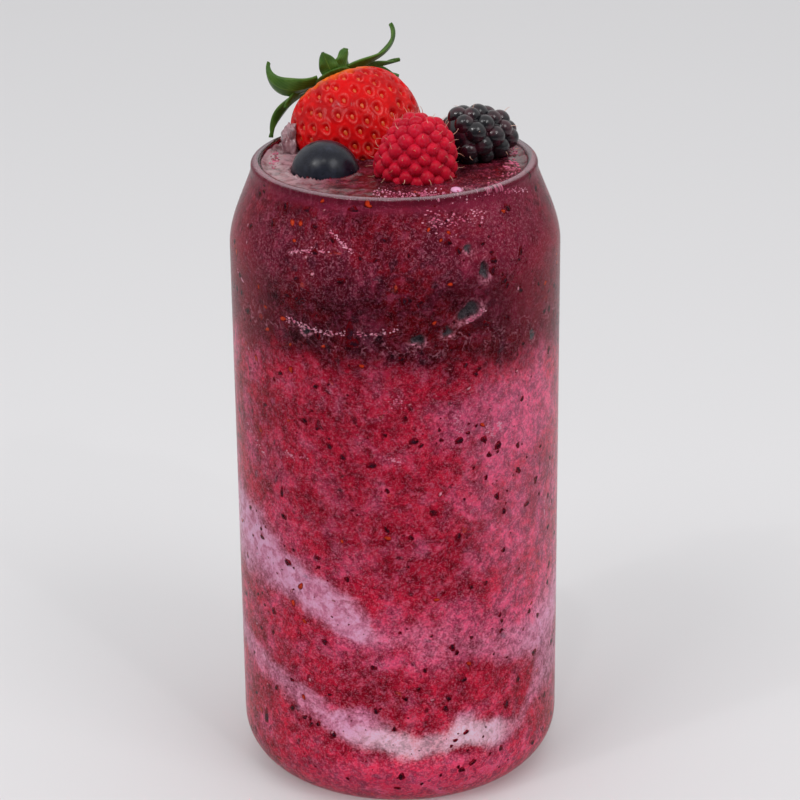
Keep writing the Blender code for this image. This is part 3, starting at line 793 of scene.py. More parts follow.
def even_points(outline, count):
    """Points at even steps along an outline, a function of a share from 0 to 1."""
    samples = [Vector(outline(index / 400.0)) for index in range(401)]
    lengths = [0.0]
    for before, after in zip(samples, samples[1:]):
        lengths.append(lengths[-1] + (after - before).length)
    points = []
    index = 0
    for step in range(count):
        target = lengths[-1] * step / (count - 1)
        while index < 399 and lengths[index + 1] < target:
            index += 1
        span = lengths[index + 1] - lengths[index]
        points.append(samples[index].lerp(samples[index + 1], (target - lengths[index]) / span))
    return points


def berry_outline(radius, tip_length, base_length, tip_power, base_power):
    """Outline of a turned berry: (radius, distance along its axis), from its tip to its base."""
    def outline(along):
        angle = math.pi * along
        sine = math.sin(angle)
        cosine = math.cos(angle)
        if cosine > 0.0:
            return radius * sine ** tip_power, tip_length * cosine
        return radius * max(sine, 0.0) ** base_power, base_length * cosine
    return outline


def frame_along(axis):
    """Rotation whose Z is the axis and whose X points as far left as it can."""
    side = Vector((-1.0, 0.0, 0.0))
    side = (side - axis * side.dot(axis)).normalized()
    return Matrix((side, axis.cross(side), axis)).transposed()


def layer_height(drink, x, y):
    """Height of the line between the two layers."""
    wave = noise.noise(Vector((x, y, 0.0)) / drink.layer_wave_length)
    return drink.layer_height - drink.layer_slope * x + drink.layer_wave * wave


# Glass

def glass_material(glass):
    """Clear polished glass, faintly wavy, with a glint on its lip. It lets lamp light through."""
    material, builder, output = new_material("clear_glass")
    place = builder.place()
    normal = builder.bump(builder.noise(place, 38.0, 1.0), 0.00012, 0.5)
    shell = principled(builder, None, {
        "Base Color": glass.tint, "Roughness": 0.0, "IOR": 1.5,
        "Specular Tint": (0.08, 0.08, 0.08), "Transmission Weight": 1.0, "Normal": normal})
    bent = builder.add("ShaderNodeBsdfRefraction", {
        "Color": glass.tint, "Roughness": 0.0, "IOR": 1.5, "Normal": normal}).outputs[0]
    calm = builder.add("ShaderNodeMixShader", {0: glass.calm, 1: shell, 2: bent}).outputs[0]
    glint = principled(builder, None, {"Base Color": (0.95, 0.74, 0.82), "Metallic": 1.0,
                                       "Roughness": 0.20})
    height = builder.apart(place)["Z"]
    lip = builder.ramp(height, GLASS_HEIGHT - 0.0006, GLASS_HEIGHT - 0.0001, 0.0, glass.glint)
    calm = builder.add("ShaderNodeMixShader", {0: lip, 1: calm, 2: glint}).outputs[0]
    clear = builder.add("ShaderNodeBsdfTransparent", {"Color": (0.96, 0.965, 0.965)}).outputs[0]
    path = builder.add("ShaderNodeLightPath").outputs["Is Shadow Ray"]
    mixed = builder.add("ShaderNodeMixShader", {0: path, 1: calm, 2: clear}).outputs[0]
    builder.tree.links.new(mixed, output.inputs["Surface"])
    return material


def glass_profile(glass):
    """Profile of the glass: up its inside, over the lip and down its outside to the punt."""
    profile = [(0.0, glass.floor)]
    for radius, height in corner(glass.inner_floor_radius, BODY_RADIUS - glass.wall,
                                 glass.inner_corner, 14):
        profile.append((radius, glass.floor + height))
    neck = GLASS_HEIGHT - glass.neck
    shoulder = spaced(glass.shoulder_start, neck, 0.0008)
    body = spaced(profile[-1][1], glass.shoulder_start, 0.010)[1:-1]
    profile.extend((BODY_RADIUS - glass.wall, height) for height in body)
    profile.extend((shoulder_radius(glass, height) - glass.wall, height) for height in shoulder)
    lip = 0.5 * glass.wall
    for step in range(13):
        angle = math.pi * step / 12
        profile.append((glass.rim_radius - lip - lip * math.cos(angle),
                        GLASS_HEIGHT - lip + lip * math.sin(angle)))
    profile.extend((shoulder_radius(glass, height), height) for height in reversed(shoulder))
    profile.extend((BODY_RADIUS, height) for height in reversed(body))
    profile.extend(reversed(corner(glass.foot_radius, BODY_RADIUS, glass.base_corner, 14)))
    for step in range(7):
        angle = math.pi * step / 6
        bowl = 0.5 * (1.0 - math.cos(angle))
        profile.append((glass.punt_radius * (1.0 - 0.38 * step / 6), glass.punt_depth * bowl))
    profile.append((0.0, glass.punt_depth))
    return profile


class SMOOTHIE_OT_glass(bpy.types.Operator):
    """Turn the clear glass with its rounded base, shoulder and lip"""

    bl_idname = "smoothie.glass"
    bl_label = "Glass"

    def execute(self, context):
        glass = context.scene.smoothie_glass
        item = turned("clear_glass", glass_profile(glass), glass.sides, glass_material(glass))
        finish_piece(item, "glass_clear", "glass")
        return {"FINISHED"}


# Drink

SWIRL_TALLEST = 0.16
SWIRL_WIDEST = 0.02
WALL_STARTS, WALL_IS_FULL = 0.0309, 0.0312
POCKET_WALL_RADIUS = 0.030
WET_TOP_RADIUS = 0.0313
WET_TOP_DEPTH = 0.012
WAVE_REACH = 0.018


class Pulp:
    """Patterns that the whole drink shares: stirred clots, fine grain and lacy froth."""

    def __init__(self, builder):
        self.builder = builder
        self.place = builder.place()
        apart = builder.apart(self.place)
        self.height = apart["Z"]
        spread = builder.plus(builder.times(apart["X"], apart["X"]),
                              builder.times(apart["Y"], apart["Y"]))
        self.wall = builder.ramp(builder.math("SQRT", spread), WALL_STARTS, WALL_IS_FULL)
        self.across = apart["X"]
        self.angle = builder.math("ARCTAN2", apart["X"], builder.times(apart["Y"], -1.0))
        self.turn = builder.line(self.angle, 0.5 / math.pi, 0.5)
        stir = builder.add("ShaderNodeTexNoise", {"Vector": self.place, "Scale": 260.0, "Detail": 3.0,
                                                  "Roughness": 0.6}).outputs["Color"]
        bend = builder.scaled(builder.vector("SUBTRACT", stir, (0.5, 0.5, 0.5)), 0.0050)
        self.stirred = builder.vector("ADD", self.place, bend)
        cell = builder.add("ShaderNodeTexVoronoi", {"Vector": self.stirred, "Scale": 330.0})
        self.clot_off = cell.outputs["Distance"]
        draws = builder.apart(cell.outputs["Color"])
        self.clot_draws = (draws["X"], draws["Y"], draws["Z"])
        self.grain = builder.noise(self.place, 1650.0, 2.0, 0.7)
        self.cloud = builder.noise(self.place, 75.0, 4.0, 0.6, 0.4)
        elsewhere = builder.vector("ADD", self.place, (0.3, 0.1, 0.2))
        self.veil = builder.noise(elsewhere, 130.0, 3.0, 0.6, 0.4)
        self.clump = builder.noise(self.stirred, 420.0, 3.0, 0.65)
        self.lace = self.thread(820.0, 0.030)
        self.crumb = builder.ramp(builder.noise(self.stirred, 980.0, 3.0, 0.7), 0.535, 0.64)
        self.blot = builder.ramp(builder.noise(self.place, 330.0, 3.0, 0.6, 0.3), 0.545, 0.66)
        aside = builder.vector("ADD", self.place, (0.7, 0.2, 0.4))
        self.pale_blot = builder.ramp(builder.noise(aside, 290.0, 4.0, 0.65, 0.3), 0.555, 0.68)
        self.dots = builder.ramp(builder.noise(self.place, 1900.0, 1.0), 0.600, 0.72)

    def thread(self, scale, width):
        """Thin lines that close round bubbles, with breaks in them."""
        builder = self.builder
        value = builder.noise(self.stirred, scale, 2.0, 0.55)
        off = builder.math("ABSOLUTE", builder.less(value, 0.5))
        return builder.times(builder.ramp(off, width, 0.0), builder.ramp(self.grain, 0.38, 0.58))

    def spots(self, draw, share, size):
        """Soft round spots in a share of the clots."""
        builder = self.builder
        chosen = builder.math("GREATER_THAN", self.clot_draws[draw], 1.0 - share)
        return builder.times(chosen, builder.ramp(self.clot_off, size, 0.4 * size))

    def shaded(self, tone, low, high):
        """The tone with light and dark from the grain and the clumps: partly the pulp's own uneven tone,
        partly painted shade in the hollows between clumps.
        """
        builder = self.builder
        mixed = builder.line(self.clump, 1.3, builder.times(self.grain, 0.7))
        return builder.scaled(tone, builder.ramp(mixed, 0.74, 1.26, low, high))

    def patch(self, degrees, height, degrees_wide, tall):
        """A soft oval on the wall: where its centre is, and how far it reaches from there."""
        builder = self.builder
        across = builder.math("DIVIDE", builder.less(self.angle, math.radians(degrees)),
                              math.radians(degrees_wide))
        up = builder.math("DIVIDE", builder.less(self.height, height), tall)
        square = builder.plus(builder.times(across, across), builder.times(up, up))
        return builder.ramp(square, 1.5, 0.1)

    def milk(self, rows, wobble, least):
        """How strongly a milky swirl shows, with an edge that breaks up into grains."""
        builder = self.builder
        around = [(degrees / 360.0 + 0.5) for degrees, *_ in rows]
        centre = builder.curve(self.turn, [(x, row[1] / SWIRL_TALLEST) for x, row in zip(around, rows)])
        width = builder.curve(self.turn, [(x, row[2] / SWIRL_WIDEST) for x, row in zip(around, rows)])
        strength = builder.curve(self.turn, [(x, row[3]) for x, row in zip(around, rows)])
        off = builder.less(builder.plus(self.height, wobble), builder.times(centre, SWIRL_TALLEST))
        off = builder.math("DIVIDE", builder.math("ABSOLUTE", off), builder.times(width, SWIRL_WIDEST))
        mask = builder.times(builder.ramp(builder.less(1.5, off), 0.0, 1.25), strength)
        shifted = builder.line(builder.less(self.grain, 0.5), 0.9, mask)
        broken = builder.times(builder.ramp(shifted, 0.02, 1.10), builder.ramp(mask, 0.0, 0.12))
        return builder.times(broken, builder.ramp(self.clump, 0.36, 0.56, least, 1.06))


def upper_colour(pulp, drink, bits):
    """Deep maroon pulp with redder and greyer clouds, dark skins and soft red seeds."""
    builder = pulp.builder
    tone = builder.mix(builder.ramp(pulp.cloud, 0.42, 0.60), drink.dark, drink.wine)
    tone = builder.laid(tone, builder.ramp(pulp.veil, 0.50, 0.64), 0.85, drink.plum)
    tone = builder.laid(tone, pulp.blot, 0.62, drink.dark)
    tone = builder.laid(tone, pulp.pale_blot, 0.34, drink.mauve)
    tone = pulp.shaded(tone, 0.44, 1.62)
    tone = builder.laid(tone, pulp.spots(0, 0.20, 0.50), 0.88, bits.skin_colour)
    tone = builder.laid(tone, pulp.spots(1, 0.045, 0.30), 0.75, bits.seed_colour)
    haze = builder.larger(pulp.patch(-34.0, 0.1410, 34.0, 0.010), pulp.patch(30.0, 0.1465, 40.0, 0.011))
    tone = builder.laid(tone, haze, 0.30, drink.plum)
    left = builder.times(pulp.patch(-76.0, 0.1380, 26.0, 0.030), 0.8)
    side = builder.larger(pulp.patch(64.0, 0.1440, 42.0, 0.028), left)
    tone = builder.laid(tone, builder.times(side, pulp.wall), 0.28, drink.claret)
    tone = builder.laid(tone, builder.times(side, pulp.wall), 0.08, drink.pink)
    tone = builder.laid(tone, builder.times(side, pulp.blot), 0.55, drink.dark)
    edge = builder.larger(pulp.patch(76.0, 0.1270, 32.0, 0.015), pulp.patch(-80.0, 0.1270, 30.0, 0.015))
    ruddy = builder.both(edge, builder.ramp(pulp.clump, 0.60, 0.40, 0.40, 1.0))
    tone = builder.laid(tone, ruddy, 0.62, drink.crimson)
    dusk = builder.times(builder.ramp(pulp.height, 0.139, 0.131), 0.30)
    tone = builder.scaled(tone, builder.less(1.0, dusk))
    brim = builder.times(pulp.wall, builder.ramp(pulp.height, LEVEL - 0.0042, LEVEL - 0.0016))
    tone = builder.laid(tone, brim, 0.72, drink.plum)
    tone = builder.laid(tone, pulp.crumb, 0.16, drink.crumb)
    froth = builder.larger(pulp.lace, builder.times(pulp.dots, 0.8))
    strength = builder.line(haze, 0.24, builder.line(side, 0.05, 0.115))
    strength = builder.times(strength, builder.less(1.0, brim))
    return builder.laid(tone, froth, strength, drink.froth)


def lower_colour(pulp, drink, bits):
    """Crimson pulp with darker and pinker clouds and dotted froth."""
    builder = pulp.builder
    tone = builder.mix(builder.ramp(pulp.cloud, 0.36, 0.58), drink.claret, drink.crimson)
    rosy = builder.larger(pulp.patch(66.0, 0.078, 44.0, 0.052), pulp.patch(-74.0, 0.070, 34.0, 0.060))
    low_patch = builder.times(pulp.patch(20.0, 0.047, 46.0, 0.0095), 0.85)
    patch = builder.larger(pulp.patch(42.0, 0.100, 30.0, 0.0110), low_patch)
    frothy = builder.line(patch, 0.24, builder.line(rosy, 0.07, pulp.veil))
    tone = builder.laid(tone, builder.ramp(frothy, 0.48, 0.78), 0.62, drink.pink)
    tone = builder.laid(tone, pulp.blot, 0.42, drink.claret)
    tone = builder.laid(tone, pulp.pale_blot, 0.30, drink.crumb)
    tone = pulp.shaded(tone, 0.50, 1.50)
    tone = builder.laid(tone, pulp.spots(0, 0.10, 0.36), 0.72, bits.skin_colour)
    tone = builder.laid(tone, pulp.spots(1, 0.022, 0.26), 0.65, bits.seed_colour)
    tone = builder.laid(tone, pulp.spots(2, 0.055, 0.27), 0.50, drink.pink)
    tone = builder.laid(tone, pulp.crumb, 0.40, drink.crumb)
    froth = builder.larger(builder.times(pulp.dots, 0.70), builder.times(pulp.lace, 0.9))
    strength = builder.line(builder.ramp(frothy, 0.40, 0.72), 0.34, 0.30)
    return builder.laid(tone, froth, strength, drink.froth)


def with_swirls(pulp, drink, tone):
    """The tone with the two milky swirls over it."""
    builder = pulp.builder
    wobble = builder.line(builder.noise(pulp.place, 80.0, 5.0, 0.60, 0.3), 0.0150, -0.0075)
    milky = builder.mix(builder.ramp(pulp.clump, 0.64, 0.36, 0.05, 0.55), drink.lilac, drink.pink)
    milky = builder.laid(milky, pulp.crumb, 0.30, drink.cream)
    tone = builder.laid(tone, pulp.milk(UPPER_SWIRL, wobble, 0.72), 0.95, milky)
    pale = builder.mix(pulp.patch(14.0, 0.0185, 34.0, 0.0070), milky, drink.cream)
    return builder.laid(tone, pulp.milk(LOWER_SWIRL, wobble, 0.66), 0.98, pale)


def with_painted_light(pulp, drink, tone):
    """Painted light: the tone brightened low down and at the foot, where light from the floor comes up
    through the glass's base, and at the right.
    """
    builder = pulp.builder
    # Painted light at the foot, laid on pinker and brighter.
    foot = pulp.patch(8.0, 0.0050, 60.0, 0.0105)
    tone = builder.laid(tone, foot, 0.22, drink.pink)
    painted_light_right = pulp.patch(70.0, 0.088, 44.0, 0.050)
    tone = builder.laid(tone, painted_light_right, 0.10, drink.lilac)
    glow = builder.ramp(pulp.height, 0.098, 0.006, 1.0, drink.low_painted_light)
    glow = builder.times(glow, builder.line(painted_light_right, 0.26, 1.0))
    glow = builder.times(glow, builder.line(foot, 0.50, 1.0))
    return builder.scaled(tone, glow)


def drink_tone(builder, drink, bits):
    """Colour of the drink at any place, the same for both layers, so that no seam shows."""
    pulp = Pulp(builder)
    upper = upper_colour(pulp, drink, bits)
    lower = with_painted_light(pulp, drink, with_swirls(pulp, drink, lower_colour(pulp, drink, bits)))
    ragged = builder.line(builder.noise(pulp.place, 110.0, 5.0, 0.62, 0.4), 0.0160, -0.0080)
    line = builder.line(pulp.across, -drink.layer_slope, drink.layer_height)
    above = builder.less(builder.plus(pulp.height, ragged), line)
    tone = builder.mix(builder.ramp(above, -0.0100, 0.0018), lower, upper)
    off_line = builder.math("ABSOLUTE", builder.less(above, 0.0030))
    thread = builder.both(pulp.thread(210.0, 0.030), builder.ramp(off_line, 0.0050, 0.0005))
    return builder.laid(tone, thread, 0.38, drink.froth), pulp


def drink_material(name, drink, bits, roughness, specular, relief):
    """Thick fruit pulp. Against the glass it has no gloss of its own; on top it is wet, with a painted
    glare at its left. The air pockets get a painted shadow.
    """
    material, builder, output = new_material(name)
    tone, pulp = drink_tone(builder, drink, bits)
    if relief > 0.0:
        # Painted glare: a pale reflection painted in streaks over the left of the wet top, and the wet
        # top darkened a little overall.
        glare_streaks = builder.ramp(builder.noise(pulp.stirred, 230.0, 4.0, 0.6, 0.5), 0.36, 0.60, 0.25, 1.0)
        painted_glare = builder.both(builder.ramp(pulp.across, -0.0120, -0.0225), glare_streaks)
        tone = builder.laid(builder.scaled(tone, 0.80), painted_glare, 0.55, drink.painted_glare)
    lip = builder.times(builder.attribute("lip"), builder.ramp(pulp.grain, 0.34, 0.60))
    tone = builder.mix(lip, tone, drink.froth)
    # Painted shadow filling the air pockets.
    hollow = pulp.shaded(tuple(drink.pocket), 0.3, 2.6)
    tone = builder.mix(builder.attribute("pocket"), tone, hollow)
    inputs = {"Base Color": tone, "Roughness": roughness, "Specular IOR Level": specular}
    if relief > 0.0:
        inputs["Normal"] = builder.bump(builder.noise(pulp.place, 900.0, 4.0, 0.6), relief)
    principled(builder, output, inputs)
    return material


def lower_profile(glass, drink):
    """Profile of the lower blend, from the middle of its floor up the wall and in to the middle."""
    wall = glass.wall - drink.reach
    floor = glass.floor - drink.reach
    profile = [(0.0, floor), (0.5 * glass.inner_floor_radius, floor)]
    for radius, height in corner(glass.inner_floor_radius, BODY_RADIUS - wall, glass.inner_corner, 22):
        profile.append((radius, floor + height))
    rows = spaced(profile[-1][1], drink.layer_height, drink.step)
    profile.extend((BODY_RADIUS - wall, height) for height in rows[1:])
    profile.extend(((BODY_RADIUS - wall) * step / 8.0, drink.layer_height)
                   for step in range(7, -1, -1))
    return profile


def upper_profile(glass, drink):
    """Profile of the upper layer, from the middle of its underside up the wall and in over its top."""
    wall = glass.wall - drink.reach
    level = GLASS_HEIGHT - drink.below_rim
    profile = [((BODY_RADIUS - wall) * step / 8.0, drink.layer_height) for step in range(8)]
    for height in spaced(drink.layer_height, level, 0.75 * drink.step):
        profile.append((shoulder_radius(glass, height) - wall, height))
    rim = profile[-1][0]
    rows = spaced(0.0, rim, 0.00052)
    profile.extend((radius, level) for radius in reversed(rows[:-1]))
    return profile


def wave_layer(points, drink, side):
    """Bend the rows near the layers' line to follow its waves; side is 1 above and -1 below."""
    line = np.array([layer_height(drink, x, y) for x, y, _ in points]) - drink.layer_height
    near = 1.0 - smoothstep(side * (points[:, 2] - drink.layer_height), 0.0, WAVE_REACH)
    points[:, 2] += line * near


def press_pockets(points, mesh):
    """Press the air pockets into the drink and mark them, for their painted shadow, and mark their pale
    lips.
    """
    angle = np.degrees(np.arctan2(points[:, 0], -points[:, 1]))
    radius = np.hypot(points[:, 0], points[:, 1])
    on_wall = radius > POCKET_WALL_RADIUS
    pocket = np.zeros(len(points))
    lip = np.zeros(len(points))
    for degrees, height, half_width, half_height, tilt, depth in AIR_POCKETS:
        across = np.radians((angle - degrees + 180.0) % 360.0 - 180.0) * BODY_RADIUS
        up = points[:, 2] - height
        turned_across = across * math.cos(tilt) + up * math.sin(tilt)
        turned_up = up * math.cos(tilt) - across * math.sin(tilt)
        off = np.hypot(turned_across / half_width, turned_up / half_height)
        off += 0.16 * np.sin(3.0 * np.arctan2(turned_up, turned_across) + degrees)
        pressed = np.where(on_wall, 1.0 - smoothstep(off, 0.35, 1.15), 0.0)
        inward = depth * pressed
        points[:, 0] -= inward * points[:, 0] / np.maximum(radius, 1e-6)
        points[:, 1] -= inward * points[:, 1] / np.maximum(radius, 1e-6)
        pocket = np.maximum(pocket, np.where(on_wall, 1.0 - smoothstep(off, 0.76, 1.02), 0.0))
        below = smoothstep(-turned_up / half_height, -0.6, 1.0)
        ring = np.exp(-((off - 1.13) / 0.09) ** 2) * (0.30 + 0.70 * below)
        ring += np.exp(-((off - 1.36) / 0.22) ** 2) * 0.6 * below ** 3
        lip = np.maximum(lip, np.where(on_wall, ring, 0.0))
    set_attribute(mesh, "pocket", pocket)
    set_attribute(mesh, "lip", lip * 0.85)


def fruit_tree():
    """All the fruit as one tree of faces, for fitting the surface of the drink round it."""
    shape = bmesh.new()
    for name in ("strawberry_body", "raspberry_body", "dark_berry_body", "blueberry_body"):
        shape.from_mesh(bpy.data.objects[name].data)
    tree = BVHTree.FromBMesh(shape)
    shape.free()
    return tree


def dress_surface(points, glass, drink):
    """Give the top its ripples, and let it climb the glass and the fruit and pass under them."""
    level = GLASS_HEIGHT - drink.below_rim
    rim = shoulder_radius(glass, level) - glass.wall + drink.reach
    tree = fruit_tree()
    top = np.nonzero(points[:, 2] > level - 1e-5)[0]
    for index in top:
        x, y, _ = points[index]
        radius = math.hypot(x, y)
        place = Vector((x, y, 0.0))
        lift = 0.00022 * noise.noise(place * 130.0) + 0.00016 * noise.noise(place * 420.0)
        lift += 0.00030 * max(0.0, noise.noise(place * 260.0 + Vector((3.0, 1.0, 0.0))) - 0.15)
        edge = rim - radius
        lift += drink.meniscus * math.exp(-edge / 0.0007)
        surface = Vector((x, y, level))
        _, _, _, distance = tree.find_nearest(surface)
        lift += drink.meniscus * math.exp(-distance / 0.0006)
        points[index, 2] = level + lift
        hit, _, _, _ = tree.ray_cast(Vector((x, y, level - 0.020)), Vector((0.0, 0.0, 1.0)))
        if hit is not None and hit.z < level + lift + 0.0002:
            points[index, 2] = hit.z - 0.00025


def make_drink(glass, drink, bits):
    side = drink_material("smoothie_pulp", drink, bits, 0.6, 0.0, 0.0)
    wet = drink_material("smoothie_wet_top", drink, bits, 0.16, 0.5, 0.00012)
    lower = turned("smoothie_lower_body", lower_profile(glass, drink), drink.sides, side)
    points = numpy_points(lower.data)
    wave_layer(points, drink, -1.0)
    press_pockets(points, lower.data)
    set_points(lower.data, points)
    upper = turned("smoothie_top_body", upper_profile(glass, drink), drink.sides, side)
    points = numpy_points(upper.data)
    wave_layer(points, drink, 1.0)
    dress_surface(points, glass, drink)
    press_pockets(points, upper.data)
    set_points(upper.data, points)
    upper.data.materials.append(wet)
    lowest = GLASS_HEIGHT - drink.below_rim - WET_TOP_DEPTH
    for face in upper.data.polygons:
        on_top = face.center.z > lowest and face.center.xy.length < WET_TOP_RADIUS
        if on_top and face.normal.z > 0.3:
            face.material_index = 1
    return lower, upper


class SMOOTHIE_OT_drink(bpy.types.Operator):
    """Turn the two layers of the drink, press in the air pockets and dress the wet top"""

    bl_idname = "smoothie.drink"
    bl_label = "Drink"

    def execute(self, context):
        scene = context.scene
        lower, upper = make_drink(scene.smoothie_glass, scene.smoothie_drink, scene.smoothie_bits)
        finish_piece(lower, "smoothie_pink", "smoothie_lower")
        finish_piece(upper, "smoothie_dark", "smoothie_top")
        return {"FINISHED"}


# Small bits in the drink

def bit_material(name, first, second, roughness, specular, scale=700.0):
    """A small bit whose colour drifts between two tones."""
    material, builder, output = new_material(name)
    drift = builder.ramp(builder.noise(builder.place(), scale, 3.0), 0.35, 0.65)
    tone = builder.mix(drift, first, second)
    principled(builder, output, {"Base Color": tone, "Roughness": roughness,
                                 "Specular IOR Level": specular})
    return material


def sunk_material(name, drink, first, second):
    """A bit half sunk in the pulp: its own colour on top, fading raggedly to the pulp's at its edge."""
    material, builder, output = new_material(name)
    place = builder.place()
    around = builder.mix(builder.ramp(builder.apart(place)["Z"], 0.108, 0.122), drink.claret, drink.wine)
    tone = builder.mix(builder.ramp(builder.noise(place, 900.0, 3.0), 0.35, 0.65), first, second)
    grain = builder.less(builder.noise(place, 1800.0, 2.0, 0.7), 0.5)
    shown = builder.line(grain, 1.3, builder.attribute("core"))
    tone = builder.mix(builder.ramp(shown, 0.46, 0.96), around, tone)
    principled(builder, output, {"Base Color": tone, "Roughness": 0.6, "Specular IOR Level": 0.0})
    return material


def wall_faces(item):
    """A copy of a drink's faces that stand against the glass."""
    shape = bmesh.new()
    shape.from_mesh(item.data)
    away = [face for face in shape.faces if abs(face.normal.z) > 0.75]
    bmesh.ops.delete(shape, geom=away, context="FACES")
    return bmesh_to_mesh(item.name + "_wall", shape)


def wall_point(glass, drink, degrees, height):
    """Place and outward direction on the drink's outside."""
    angle = math.radians(degrees)
    outward = Vector((math.sin(angle), -math.cos(angle), 0.0))
    radius = shoulder_radius(glass, height) - glass.wall + drink.reach
    return outward * radius + Vector((0.0, 0.0, height)), outward


def large_skins(glass, drink, shape, material):
    up = Vector((0.0, 0.0, 1.0))
    rows = []
    for degrees, height, half_width, half_height in LARGE_SKINS:
        place, outward = wall_point(glass, drink, degrees, height)
        turn = Matrix((up.cross(outward), up, outward)).transposed().to_euler()
        rows.append((place - outward * 0.0001, turn, (half_width, half_height / SKIN_SLIMNESS, 0.0008)))
    return on_points("large_skins", rows, shape, material)


def make_bits(glass, drink, bits):
    """Dark skins, orange pips and pale bits, scattered over both layers and placed one by one."""
    lower = wall_faces(bpy.data.objects["smoothie_lower_body"])
    upper = wall_faces(bpy.data.objects["smoothie_top_body"])
    skin, pip = skin_shape("skin_scrap", 0.0), pip_shape("pip")
    dark = sunk_material("berry_skins", drink, bits.skin_colour, (0.040, 0.010, 0.022))
    orange = sunk_material("pips", drink, bits.seed_colour, (0.560, 0.040, 0.012))
    pale = sunk_material("pale_bits", drink, bits.pith_colour, drink.froth)
    fleck = {"Density": float(bits.flecks), "Largest": bits.fleck, "Smallest Share": 0.16,
             "Size Falloff": 3.2, "Clumping": 55.0, "Seed": 3}
    seed = {"Density": float(bits.seeds), "Largest": bits.seed, "Smallest Share": 0.55,
            "Size Falloff": 1.0, "Clumping": 70.0, "Seed": 8}
    pith = {"Density": float(bits.piths), "Largest": bits.pith, "Smallest Share": 0.25,
            "Size Falloff": 2.4, "Clumping": 48.0, "Seed": 5}
    made = [
        scattered("skins_upper", upper, skin, {**fleck, "Density": 1.5 * bits.flecks}, dark),
        scattered("skins_lower", lower, skin, {**fleck, "Seed": 4}, dark),
        large_skins(glass, drink, skin, dark),
        scattered("pips_upper", upper, pip, {**seed, "Density": 2.2 * bits.seeds}, orange),
        scattered("pips_lower", lower, pip, {**seed, "Density": 0.6 * bits.seeds, "Seed": 9}, orange),
        scattered("pith_upper", upper, skin, {**pith, "Density": 0.4 * bits.piths}, pale),
        scattered("pith_lower", lower, skin, {**pith, "Seed": 6}, pale),
    ]
    for shape in (skin, pip):
        discard(shape)
    return (joined("berry_skin_flecks", made[0:3]), joined("orange_pips", made[3:5]),
            joined("pale_fruit_bits", made[5:7]))


# Foam and pulp on the drink's top: place across and back, half widths, and number of bubbles
SURFACE_FOAM = (
    (0.0272, -0.0060, 0.0020, 0.0060, 90),
    (0.0240, -0.0165, 0.0024, 0.0024, 40),
    (0.0284, 0.0070, 0.0014, 0.0050, 50),
    (-0.0284, 0.0040, 0.0010, 0.0080, 40),
    (0.0085, -0.0262, 0.0060, 0.0014, 30),
)
FOAM_OUTER_RADIUS = 0.0308
LILAC_DROP = ((0.0142, -0.0232, LEVEL + 0.0001), (0.0, 0.0, 0.4), (0.0013, 0.0019, 0.0007))
CLUMP_CENTRE = Vector((-0.0248, 0.0105, LEVEL + 0.0022))
CLUMP_SIZE = Vector((0.0021, 0.0034, 0.0046))


def pulp_clump():
    """A rough lump of pulp against the strawberry."""
    shape = bmesh.new()
    bmesh.ops.create_icosphere(shape, subdivisions=5, radius=1.0)
    for vertex in shape.verts:
        pull = 1.0 + 0.35 * noise.noise(vertex.co * 1.6) + 0.12 * noise.noise(vertex.co * 5.0)
        place = vertex.co * pull
        vertex.co = CLUMP_CENTRE + Vector(a * b for a, b in zip(place, CLUMP_SIZE))
    clump = link("pulp_clump", bmesh_to_mesh("pulp_clump", shape))
    clump.data.materials.append(bpy.data.materials["smoothie_wet_top"])
    clump.data.shade_smooth()
    return clump


def surface_foam(drink, bits):
    """Bubbles and one lilac drop on top of the drink, and a clump of pulp against the strawberry."""
    draw = random.Random(41)
    surface = BVHTree.FromPolygons(*mesh_lists(bpy.data.objects["smoothie_top_body"].data))
    rows = []
    for across, back, wide, deep, count in SURFACE_FOAM:
        for _ in range(count):
            start = Vector((across + draw.gauss(0.0, 0.5 * wide), back + draw.gauss(0.0, 0.5 * deep),
                            GLASS_HEIGHT + 0.002))
            hit, _, _, _ = surface.ray_cast(start, Vector((0.0, 0.0, -1.0)))
            if hit is None or hit.xy.length > FOAM_OUTER_RADIUS or hit.z < LEVEL - 0.001:
                continue
            size = bits.bubble * draw.uniform(0.5, 1.6)
            turn = (0.0, 0.0, draw.uniform(0.0, 3.0))
            rows.append((hit, turn, (size * draw.uniform(0.9, 1.5), size, 0.6 * size)))
    bead, drop_bead = bead_shape("foam_bead", 10, 7), bead_shape("drop_bead", 24, 16)
    wet = bit_material("wet_foam", drink.wine, drink.crumb, 0.2, 0.4, 420.0)
    lilac = bit_material("lilac_drop", drink.lilac, (0.70, 0.30, 0.50), 0.2, 0.4, 300.0)
    made = [
        on_points("surface_foam", rows, bead, wet),
        on_points("drop", [LILAC_DROP], drop_bead, lilac),
        pulp_clump(),
    ]
    discard(bead)
    discard(drop_bead)
    return joined("surface_foam", made)


def mesh_lists(mesh):
    """Points and faces of a mesh as plain lists."""
    points = [vertex.co.copy() for vertex in mesh.vertices]
    return points, [tuple(face.vertices) for face in mesh.polygons]


